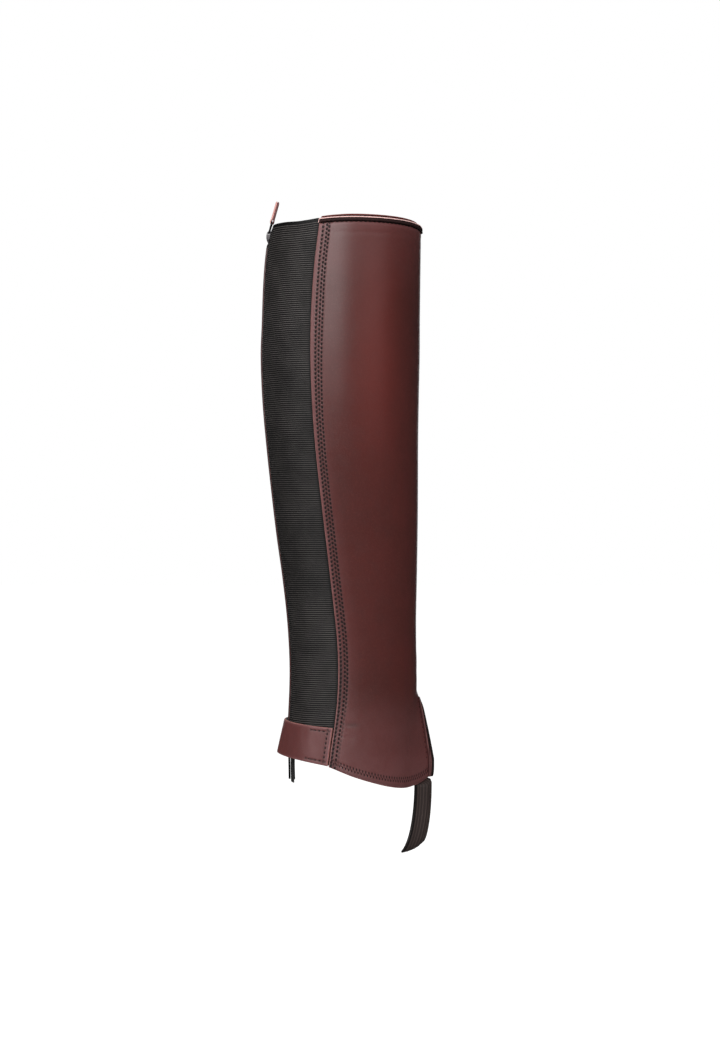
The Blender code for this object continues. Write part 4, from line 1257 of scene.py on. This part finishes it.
def closure_tab(leather, flesh, thread):
    """The tab over the foot of the zip, sewn on beside the seam with a U of stitches."""
    near = np.concatenate([EDGE_STEPS / TAB_WIDTH, [0.08, 0.1, 0.12, 0.14]])
    shares = np.concatenate([near, np.linspace(0.17, 0.83, 14), 1.0 - near[::-1]])
    radius = degrees_for(TAB_END_RADIUS, TAB_RUN[0][1])
    tail = radius * np.array([0.9, 0.8, 0.7, 0.6, 0.5, 0.4, 0.3, 0.22, 0.15, 0.09, 0.04, 0.01, 0.0])
    rows = []
    for share in shares:
        level = mix(TAB_RUN[0][1], TAB_RUN[0][2], share)
        start = float(seam_girth(level) + degrees_for(TAB_SEAM_GAP, level))
        first = start + degrees_for(np.concatenate([EDGE_STEPS, [2.2, 2.7, 3.2, 3.7, 4.4, 5.4]]), level)
        girth = np.concatenate([first, between(first[-1], TAB_END - radius, 110)[1:], TAB_END - tail])
        top, foot = read(TAB_RUN, girth, 1), read(TAB_RUN, girth, 2)
        drop = corner_drop(np.radians(TAB_END - girth) * half_width(top), TAB_END_RADIUS)
        rows.append((girth, mix(top - drop, foot + drop, share), top - drop, foot + drop,
                     np.radians(girth - start) * half_width(top)))
    girth, height, top, foot, from_sewn = (np.array(column) for column in zip(*rows))
    from_top, from_foot = top - height, height - foot
    edge = least(from_top, from_foot, from_sewn, np.radians(TAB_END - girth) * half_width(height))
    low = tab_offset(girth, height)
    to_end, to_top, to_foot = (np.abs(away - row) for away, row in (
        (from_sewn, TAB_SEWN), (from_top, TAB_SEWN_TOP), (from_foot, TAB_SEWN_FOOT)))
    corner = from_sewn < TAB_SEWN_SIDES[1] + 0.4
    sewn = least(to_end, np.where(corner, to_top, FAR), np.where(corner, to_foot, FAR))
    run = np.where(to_end < np.minimum(to_top, to_foot), (from_top - TAB_SEWN_TOP) / TAB_PITCHES[0],
                   (from_sewn - TAB_SEWN_SIDES[0]) / TAB_PITCHES[1])
    relief = (creases(TAB_CREASES, girth, height) - 0.16 * peak(sewn, 0.0, 0.5)) * ease(edge / 1.2)

    # cut at its top and its sewn end, and paler at its edges and where it bends round the seam, with a
    # painted highlight over its middle near girth 123 and a slight painted lift all over
    attributes = {"raw": np.maximum(fall(np.minimum(from_top, from_sewn), 0.05, 0.65),
                                    0.9 * fall(edge, 0.0, 0.5)),
                  # pale edges, plus a painted highlight near girth 123 and a painted lift of 0.18
                  "wear_and_sheen": np.clip(0.6 * fall(from_sewn, 0.8, 2.6) + 0.3 * fall(edge, 0.5, 1.8) + 0.18
                                  + 0.2 * peak(girth, 123.0, 11.0), 0.0, 1.0),
                  "dark": 0.5 * peak(from_sewn, 1.5, 0.4),
                  "rosy": 0.7 * ease((girth - 150.0) / 40.0),
                  "sew": sewn, "run": run, "stitched": np.full_like(sewn, 0.6)}
    piece = shell("closure_tab_leather", girth, height, low, low + TAB, edge, (leather, flesh),
                  relief, 0.8, attributes)
    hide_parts("hem_tab")

    def line(a, b, pitch):
        """A row of stitches between two points given as (distance from the sewn end, share down)."""
        down = np.linspace(a[1], b[1], 80)
        level = mix(TAB_RUN[0][1], TAB_RUN[0][2], down)
        turn = seam_girth(level) + degrees_for(TAB_SEAM_GAP + np.linspace(a[0], b[0], 80), level)
        level = mix(read(TAB_RUN, turn, 1), read(TAB_RUN, turn, 2), down)
        return sew(turn, level, tab_offset(turn, level) + TAB - STITCH_SINKS, pitch, 0.5)

    upper, lower = TAB_SEWN_SHARES
    begins, ends = TAB_SEWN_SIDES
    rows = [line((TAB_SEWN, upper), (TAB_SEWN, lower), TAB_PITCHES[0])]
    rows += [line((begins, share), (ends, share), TAB_PITCHES[1]) for share in TAB_SEWN_SHARES]
    stitches("tab", rows, thread)
    return piece


# ---------------------------------------------------------------- elastic and zip

def elastic_grid():
    """Girths, heights and the distances from the top and the foot, for a grid with RIB_STEPS rows to
    a rib."""
    top_drops = np.array([0.0, 0.05, 0.18, 0.4, 0.8, 1.3, 1.9])
    foot_drops = np.array([0.9, 0.45, 0.18, 0.05, 0.0])
    near_zip = np.array([0.0, 0.05, 0.2, 0.45, 1.0, 2.0, 3.5, 5.2, 6.0, 6.6, 7.2, 8.0, 9.5, 12.5])
    top_level, foot_level = 97.0, -307.0
    low, high = -285.0, 70.0
    ribs = RIB_STEPS / RIB_PITCH

    def columns(at):
        seam = seam_girth(at)
        near = 180.0 - degrees_for(PANEL_EDGE + near_zip, at)
        far = seam - degrees_for(LAP * np.array([0.5, 0.9, 0.97]), at)
        shows = seam + degrees_for(np.array([3.4, 2.4, 1.4, 0.5, -0.6]), at)
        return np.concatenate([near, between(near[-1], shows[0], 14)[1:], shows[1:], far])

    def top_of(girth):
        drop = corner_drop(from_zip(girth, top_level) - PANEL_EDGE, ELASTIC_CORNER)
        under = ease((seam_girth(top_level) - girth) / degrees_for(LAP, top_level))
        under = under * (BAND_HEIGHT + FACING_SHOWS)
        return read(RIM, np.maximum(girth, LAP_GIRTH)) - ELASTIC_LOW - under - drop

    def foot_of(girth):
        short = ease((girth - seam_girth(foot_level) - 2.0) / 4.0)
        return read(TAB_RUN, girth, 2) + mix(0.4, ELASTIC_SHORT, short)

    at_top, at_foot = columns(top_level), columns(foot_level)
    rows = [(at_top, top_of(at_top) - drop) for drop in top_drops]
    for share in np.linspace(1.0, 0.0, int(26.0 * ribs)):
        girth = columns(mix(high, 95.0, share))
        rows.append((girth, mix(high, top_of(at_top) - top_drops[-1] - 0.05, share)))
    for at in np.linspace(high, low, int((high - low) * ribs))[1:]:
        girth = columns(at)
        rows.append((girth, np.full_like(girth, at)))
    for share in np.linspace(0.0, 1.0, int(22.0 * ribs))[1:]:
        girth = columns(mix(low, -306.0, share))
        rows.append((girth, mix(low, foot_of(girth) + 1.3, share)))
    rows += [(at_foot, foot_of(at_foot) + drop) for drop in foot_drops]
    girth, height = (np.array(column) for column in zip(*rows))
    return girth, height, top_of(girth) - height, height - foot_of(girth)


def elastic_gusset(elastic, thread):
    """The ribbed gusset. Each rib is a rounded roll across the leg."""
    girth, height, down, up = elastic_grid()
    from_seam = np.radians(girth - seam_girth(height)) * half_width(height)
    to_zip = from_zip(girth, height) - PANEL_EDGE
    turns = np.arange(len(girth)) / RIB_STEPS
    rib = 0.5 - 0.5 * np.cos(2 * np.pi * turns)[:, None] * np.ones_like(girth)
    ribbed = ease((down - 2.1) / 0.6) * ease((up - 1.0) / 0.6)
    ribbed = ribbed * mix(0.25, 1.0, ease((from_seam - 0.4) / 2.6)) * ease((to_zip - 0.8) / 1.5)
    sewn = np.abs(to_zip - ELASTIC_ROW)
    edge = least(down, to_zip, up)
    relief = (-0.46 * (1.0 - rib) * ribbed - 0.30 * peak(sewn, 0.0, 0.55)) * ease(edge / 0.7)

    # painted shade under the leather's edge, in the sewn groove and over the hollow of the calf, where the
    # ribs face down away from the lamps
    shade = 0.9 * fall(from_seam, -0.2, 1.4) + 0.5 * peak(sewn, 0.0, 0.45)
    shade += 0.32 * peak(height, -110.0, 110.0)
    # rib sets the painted light and shade on the ribs
    attributes = {"rib": mix(0.4, rib, ribbed), "dark": np.clip(shade, 0.0, 1.0)}
    piece = shell("elastic_gusset", girth, height, 0.0 * girth, 0.0 * girth + ELASTIC, edge, elastic,
                  relief, 0.5, attributes)
    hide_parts("elastic_panel")
    at = np.linspace(90.0, -299.0, 600)
    turn = 180.0 - degrees_for(PANEL_EDGE + ELASTIC_ROW, at)
    row = sew(turn, at, ELASTIC - ELASTIC_SINKS, ELASTIC_PITCH, 0.5)
    stitches("elastic", [row], thread)
    return piece


def lean_forward(piece):
    """Below the tab the zip's end leans forward a little."""
    for vertex in piece.data.vertices:
        vertex.co.x += ZIP_LEANS * MM * float(ease((ZIP_LEAN_TOP - vertex.co.z / MM) / ZIP_LEAN_RUN))


def zip_foot(metal):
    """The pin and box at the zip's end, with the pin run up to the teeth."""
    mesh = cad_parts["zip_foot"].data.copy()
    mesh.transform(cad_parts["zip_foot"].matrix_world)
    mesh.materials.clear()
    mesh.materials.append(metal)
    pin_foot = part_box("zip_foot")[1][2] - ZIP_PIN_END * MM
    for vertex in mesh.vertices:
        if vertex.co.z > pin_foot:
            vertex.co.z += ZIP_PIN_UP * MM
    piece = linked("zip_foot_box", mesh)
    lean_forward(piece)
    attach(piece, "chap")
    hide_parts("zip_foot")


def zip_tape(name, side, woven):
    """One woven tape: side is +1 by the elastic and -1 by the leather."""
    ends = np.array([0.0, 0.06, 0.2, 0.45])
    level = np.concatenate([TAPE_TOP - ends, np.linspace(TAPE_TOP - 1.2, TAPE_FOOT + 1.2, 170),
                            TAPE_FOOT + ends[::-1]])
    low, high = TAPE_EDGES
    widths = np.concatenate([low + ends, np.linspace(low + 1.0, high - 1.0, 12), high - ends[::-1]])
    height = np.broadcast_to(level[:, None], (len(level), len(widths)))
    girth = side * (180.0 - degrees_for(widths, height))
    edge = least(widths - low, high - widths, TAPE_TOP - height, height - TAPE_FOOT)
    piece = shell(name + "_woven", girth, height, 0.0 * girth - GAP - TAPE, 0.0 * girth - GAP, edge, woven,
                  0.0, 0.45)
    lean_forward(piece)
    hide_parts(name)
    return piece


def zip_coil(coil):
    """The closed teeth: two rows of nylon loops that mesh down the middle."""
    sides = 6
    points, faces = [], []
    turn = np.arange(sides) * 2 * math.pi / sides
    for side, begins in ((1.0, 0.25), (-1.0, 0.75)):
        for k in range(int((CHAIN_TOP - CHAIN_FOOT) / CHAIN_PITCH)):
            at = CHAIN_TOP - (k + begins) * CHAIN_PITCH
            faces += tube_faces(len(CHAIN_LOOP), sides, len(points))
            for across, out, radius in CHAIN_LOOP:
                girth = np.full(sides, 180.0 + math.degrees(side * across / float(half_width(at))))
                offset = out + radius * np.sin(turn) * 0.8
                points += place(girth, at + radius * np.cos(turn), offset).tolist()
    piece = new_mesh("zip_coil_teeth", points, faces, coil)
    lean_forward(piece)
    piece.data.update()
    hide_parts("zip_chain")


def frame_at(girth, height, offset):
    """A frame on the form: X along the girth to the outer side, Y up, Z outwards."""
    rise = 6.0

    def point(turn, level, out):
        return Vector(place(turn, level, out).tolist())

    origin = point(girth, height, offset)
    up = (point(girth, height + rise, offset) - point(girth, height - rise, offset)).normalized()
    along = point(girth - 1.0, height, offset) - point(girth + 1.0, height, offset)
    out = along.cross(up).normalized()
    if out.dot(point(girth, height, offset + 1.0) - origin) < 0:
        out = -out
    axes = Matrix((up.cross(out), up, out)).transposed().to_4x4()
    return Matrix.Translation(origin) @ axes


def snap_cap(metal):
    """The snap's domed cap, with a groove inside its rolled rim."""
    sides = 48
    height = float(read(TAB_RUN, SNAP_GIRTH, 1) + read(TAB_RUN, SNAP_GIRTH, 2)) / 2
    base = float(read(TAB_RUN, SNAP_GIRTH, 3)) + TAB + GAP
    profile = [(SNAP_RADIUS - inwards, base + up) for inwards, up in SNAP_RIM]
    radius, foot = profile[-1]
    for step in range(1, 12):
        angle = math.radians(step * 8.0)
        profile.append((radius * math.cos(angle), foot + SNAP_DOME * math.sin(angle)))
    transform = frame_at(SNAP_GIRTH, height, 0.0)
    points = [tuple(transform @ Vector((x, y, rise)))
              for radius, rise in profile for x, y in circle(sides, radius)]
    piece = new_mesh("snap_cap_dome", points, tube_faces(len(profile), sides), metal)
    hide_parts("snap_cap")


def pull_frame():
    """The pull's frame: X across, Y along it from its pivot, Z its face."""
    slider = frame_at(180.0, SLIDER_HEIGHT, 0.0)
    pivot = slider @ Vector((0.0, PIVOT_UP, PIVOT_OUT))
    turn = Matrix.Translation(pivot) @ Matrix.Rotation(math.radians(PULL_LEAN), 4, "Y")
    return turn @ Matrix(((0, 0, -1, 0), (-1, 0, 0, 0), (0, 1, 0, 0), (0, 0, 0, 1)))


def pull_wire(metal):
    """The wire link, bent round at its corners."""
    sides = 12
    bend = 0.45
    half = [(LINK_FOOT - LINK_BEVEL, 0.0), (LINK_FOOT, LINK_BEVEL),
            (LINK_HEAD, LINK_LENGTH - LINK_BEVEL), (LINK_HEAD - LINK_BEVEL, LINK_LENGTH)]
    corners = np.array(half + [(-x, y) for x, y in reversed(half)])
    turns = []
    for i, here in enumerate(corners):
        start = here + unit(corners[i - 1] - here) * bend
        end = here + unit(corners[(i + 1) % len(corners)] - here) * bend
        turns += [(1 - t) ** 2 * start + 2 * t * (1 - t) * here + t * t * end
                  for t in (0.0, 0.25, 0.5, 0.75, 1.0)]
    transform = pull_frame()
    flat = transform.to_3x3()
    out = flat @ Vector((0.0, 0.0, 1.0))
    points = []
    for i, here in enumerate(turns):
        way = unit(turns[(i + 1) % len(turns)] - turns[i - 1])
        middle = transform @ Vector((here[0], here[1], 0.0))
        across = flat @ Vector((way[1], -way[0], 0.0))
        points += [tuple(middle + across * x + out * y) for x, y in circle(sides, WIRE)]
    piece = new_mesh("pull_wire_link", points, tube_faces(len(turns), sides, closed=True), metal,
                     "pull")
    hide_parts("pull_link")


def pull_leather(leather):
    """A strip folded round the link's head bar: two layers with cut edges, joined together."""
    bend = WIRE + 0.12 + PULL_LAYER / 2
    layer = PULL_THICK / 4
    parts = LINK_LENGTH + PULL_PARTS
    route = [(mix(PULL_LENGTH, parts, t), layer) for t in np.linspace(0.0, 1.0, 15)]
    route += [(mix(parts, LINK_LENGTH + 0.3, t), mix(layer, bend, ease(t))) for t in (0.2, 0.4, 0.6, 0.8)]
    for step in range(13):
        angle = math.radians(180.0 * step / 12)
        route.append((LINK_LENGTH - bend * math.sin(angle), bend * math.cos(angle)))
    route += [(y, -z) for y, z in reversed(route) if z > layer * 0.99 and y > LINK_LENGTH]
    transform = pull_frame()
    line = np.array(route)
    half, corner = PULL_HALF, PULL_CORNER
    points, cut = [], []
    for (y, z), way in zip(line, unit(np.gradient(line, axis=0))):
        near = np.clip(abs(y - LINK_LENGTH) / PULL_PARTS, 0.0, 1.0)
        rounded_end = 1.0 - 0.55 * ease((y - PULL_LENGTH + 1.6) / 1.6) ** 2
        thick = mix(PULL_LAYER, PULL_THICK / 2, near) / 2 * rounded_end
        face = [(-half, -thick + corner), (-half + corner, -thick), (0.0, -thick),
                (half - corner, -thick), (half, -thick + corner)]
        outline = face + [(-x, -out) for x, out in face]
        for x, out in outline:
            spot = np.array([y, z]) + np.array([way[1], -way[0]]) * out
            points.append(tuple(transform @ Vector((x, spot[0], spot[1]))))
            cut.append(1.0 if abs(x) > half - corner * 0.5 and z > 0 else 0.0)
    piece = new_mesh("pull_strip_leather", points, tube_faces(len(line), len(outline)), leather,
                     "pull", {"raw": cut, "wear_and_sheen": [0.3] * len(cut)})
    piece.data.set_sharp_from_angle(angle=math.radians(50.0))
    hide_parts("pull_tab")


# ---------------------------------------------------------------- the foot strap

def sewn_point(share, height, side):
    girth = side * mix(STRAP_REAR, STRAP_FRONT, share)
    clear = ease((read(HEM, girth) + 0.5 * share - height) / mix(*STRAP_CLEARS, share))
    return place(girth, height, wrap_inside(girth) - STRAP_GAP - STRAP / 2 + STRAP_STANDS_OUT * clear)


def strap_point(share, turn):
    """A point of the strap's middle surface: turn is -1 where it bends on the outer side, 0 at its
    lowest and 1 on the inner side."""
    start = sewn_point(share, STRAP_BEND, -1 if turn > 0 else 1)
    low_x = read(STRAP_LOW, share, 1)
    low_z = read(STRAP_LOW, share, 2)
    angle = math.pi / 2 * (1 - abs(turn))
    drop = math.sin(angle)
    reach = math.hypot(math.cos(angle), STRAP_ROUND) - STRAP_ROUND
    travel = 1 - reach / (math.hypot(1.0, STRAP_ROUND) - STRAP_ROUND)
    opens = mix(*STRAP_OPENS, share) * math.sin(angle) ** 2
    y = (start[1] + math.copysign(opens, start[1])) * math.cos(angle)
    return np.array([mix(start[0], low_x, travel), y, mix(start[2], low_z, drop)])


def foot_strap(elastic):
    """The elastic loop, with lengthwise ribs and firm edges."""
    border = np.array([0.0, 0.004, 0.012, 0.026])
    shares = np.concatenate([border, np.linspace(STRAP_BORDER, 1.0 - STRAP_BORDER, STRAP_RIBS * 4 + 1),
                             1.0 - border[::-1]])
    sewn = np.linspace(STRAP_TOP, STRAP_BEND, 24)[:-1]
    middle = [[sewn_point(share, height, 1) for share in shares] for height in sewn]
    middle += [[strap_point(share, turn) for share in shares] for turn in np.linspace(-1.0, 1.0, 91)]
    middle += [[sewn_point(share, height, -1) for share in shares] for height in sewn[::-1]]
    middle = np.array(middle)
    out = unit(np.cross(np.gradient(middle, axis=0), np.gradient(middle, axis=1)))
    edge = np.minimum(shares, 1.0 - shares) * STRAP_WIDTH
    across = np.clip((shares - STRAP_BORDER) / (1.0 - 2.0 * STRAP_BORDER), 0.0, 1.0)
    rib = 0.5 - 0.5 * np.cos(2 * np.pi * STRAP_RIBS * across)
    inside = (shares > 0.04) & (shares < 0.96)
    half = STRAP / 2 - rounding(edge, STRAP_EASED) + np.where(inside, -0.16 * (1.0 - rib), 0.0)
    reach = out * half[:, None]
    # rib sets the painted light and shade on the strap's ribs
    attributes = {"rib": np.where(inside, mix(0.15, 0.8, rib), 0.1), "dark": 0.9 * fall(edge, 0.75, 0.5)}
    piece = wall("foot_strap_elastic", middle + reach, middle - reach, elastic, attributes)
    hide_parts("foot_strap")
    return piece


# ---------------------------------------------------------------- hard pieces kept from the CAD

def soften(node, metal):
    """A CAD node in its better material, with its sharp edges eased."""
    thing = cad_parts[node]
    thing.data.materials.clear()
    thing.data.materials.append(metal)
    bevel = thing.modifiers.new("eased edges", "BEVEL")
    bevel.width = EASED * MM
    bevel.segments = 2
    bevel.limit_method = "ANGLE"
    bevel.angle_limit = math.radians(28.0)


# ---------------------------------------------------------------- camera, lights and floor

CAMERA_AT = (0.0158, -2.0, -0.1313)
LENS = 89.0
FLOOR_HEIGHT = -0.455
FLOOR_REACH = 12.0
FLOOR_LIFT = 0.72
FLOOR_GREY = (0.7, 0.7, 0.7, 1.0)
FLOOR_ASIDE = (0.08, 0.08, 0.08, 1.0)    # where a mirror shows it beside the object
WHITE = (1.0, 1.0, 1.0, 1.0)
BEHIND = math.cos(math.radians(17.0))    # directions within this of straight behind are white
AMBIENT = 0.46
AMBIENT_MIRRORED = 0.035
CENTRE = (0.0, 0.0, -0.12)
LAMPS = (
    # name, degrees to the right of the camera's side, degrees up, metres away, watts, width, height
    ("key", -13.0, 24.0, 1.6, 11.8, 1.0, 0.9),
    ("right", 38.0, 24.0, 1.6, 3.0, 1.4, 0.9),
    ("left", -55.0, 19.0, 1.6, 6.6, 1.1, 1.2),
    ("back", 165.0, 55.0, 2.0, 5.0, 1.2, 1.2),
)


def world_light():
    """White behind the object for the camera and for what mirrors it, and a soft even light."""
    world = bpy.data.worlds.new("studio")
    bpy.context.scene.world = world
    world.use_nodes = True
    n = Nodes(world.node_tree)
    path, _, _, seen = n.white_rays(n.add("ShaderNodeTexCoord").outputs["Generated"])
    soft = n.tree.nodes["Background"]
    soft.inputs["Color"].default_value = (1.0, 0.99, 0.985, 1.0)
    level = n.times(path["Is Diffuse Ray"], AMBIENT - AMBIENT_MIRRORED)
    n.tree.links.new(n.plus(level, AMBIENT_MIRRORED), soft.inputs["Strength"])
    white = n.add("ShaderNodeBackground", {"Color": WHITE, "Strength": 1.0})
    mixed = n.add("ShaderNodeMixShader", {0: seen, 1: soft.outputs[0], 2: white.outputs[0]})
    n.tree.links.new(mixed.outputs[0], n.tree.nodes["World Output"].inputs[0])


def floor():
    """A pale floor under the strap. What the camera and mirrors see of it is lifted to white, less
    the object's shadow."""
    mesh = bpy.data.meshes.new("floor")
    mesh.from_pydata([(x * FLOOR_REACH, y * FLOOR_REACH, FLOOR_HEIGHT)
                      for x, y in ((-1, -1), (1, -1), (1, 1), (-1, 1))], [], [(0, 1, 2, 3)])
    linked("floor", mesh)
    n = Finish("floor_white", FLOOR_GREY, 0.9)
    n.shader.inputs["Specular IOR Level"].default_value = 0.0
    way = n.add("ShaderNodeVectorMath", {0: n.coords}, operation="NORMALIZE").outputs[0]
    _, mirrored, behind, seen = n.white_rays(way)
    aside = n.times(mirrored, n.maths("SUBTRACT", 1.0, behind))
    n.link(n.blend(aside, FLOOR_GREY, FLOOR_ASIDE), "Base Color")
    glow = n.add("ShaderNodeEmission", {"Color": WHITE, "Strength": n.times(seen, FLOOR_LIFT)})
    both = n.add("ShaderNodeAddShader", {0: n.shader.outputs[0], 1: glow.outputs[0]})
    n.tree.links.new(both.outputs[0], n.tree.nodes["Material Output"].inputs[0])
    mesh.materials.append(n.made)


def studio():
    """One broad lamp beside and above the camera, and three weaker ones."""
    bpy.context.scene.view_settings.view_transform = "Standard"
    world_light()
    floor()
    for name, azimuth, rise, away, energy, width, height in LAMPS:
        flat = away * math.cos(math.radians(rise))
        at = (CENTRE[0] + flat * math.sin(math.radians(azimuth)),
              CENTRE[1] - flat * math.cos(math.radians(azimuth)),
              CENTRE[2] + away * math.sin(math.radians(rise)))
        lamp = bpy.data.lights.new(name, "AREA")
        lamp.energy = energy
        lamp.shape = "RECTANGLE"
        lamp.size = width
        lamp.size_y = height
        thing = linked(name, lamp)
        thing.location = at
        thing.rotation_euler = (Vector(CENTRE) - Vector(at)).to_track_quat("-Z", "Y").to_euler()


def camera():
    lens = bpy.data.cameras.new("camera")
    lens.lens = LENS
    lens.sensor_width = 36.0
    thing = linked("camera", lens)
    thing.location = CAMERA_AT
    thing.rotation_euler = (math.radians(90.0), 0.0, 0.0)
    bpy.context.scene.camera = thing


# ---------------------------------------------------------------- the whole scene


def build():
    camera()
    studio()
    leather = leather_material("leather_burgundy")
    band_leather = leather_material("leather_band", srgb(38, 20, 18), srgb(24, 13, 12),
                                    srgb(245, 200, 195), (0.5, 0.62), 0.25)
    facing_leather = leather_material("leather_facing", srgb(58, 16, 17), srgb(40, 13, 14),
                                      RAW_PINK, (0.55, 0.7), 0.2)
    pull_skin = leather_material("leather_pull", srgb(110, 38, 36), srgb(84, 34, 32),
                                 srgb(226, 168, 160), (0.4, 0.5))
    flesh = flesh_material()
    elastic = elastic_material("elastic_ribbed", srgb(102, 97, 95), srgb(7, 6, 6))
    strap_elastic = elastic_material("elastic_strap", srgb(104, 86, 81), srgb(53, 43, 41), 0.6)
    woven = woven_material()
    coil = coil_material()
    thread = thread_material()
    black_thread = thread_material("black_thread", srgb(16, 14, 14), srgb(48, 45, 44))
    metal = nickel_material("nickel_plate", srgb(232, 229, 224), srgb(206, 202, 196), (0.34, 0.44))
    zip_metal = nickel_material("zip_nickel", srgb(68, 66, 67), srgb(42, 41, 43), (0.2, 0.36))
    black_metal = nickel_material("zip_foot_black", srgb(44, 43, 44), srgb(30, 29, 30), (0.35, 0.5))

    pieces = {"wrap": wrap_leather(leather, flesh)}
    wrap_stitches(thread)
    rim_band(band_leather, thread)
    pieces["facing"] = rim_facing(facing_leather)
    dart_welt(leather, thread)
    pieces["tab"] = closure_tab(leather, flesh, thread)
    pieces["gusset"] = elastic_gusset(elastic, black_thread)
    pieces["tape_outer"] = zip_tape("zip_tape_outer", 1, woven)
    pieces["tape_inner"] = zip_tape("zip_tape_inner", -1, woven)
    zip_coil(coil)
    snap_cap(metal)
    pull_wire(zip_metal)
    pull_leather(pull_skin)
    pieces["strap"] = foot_strap(strap_elastic)
    soften("zip_slider", zip_metal)
    zip_foot(black_metal)
    soften("snap_stud", metal)


build()
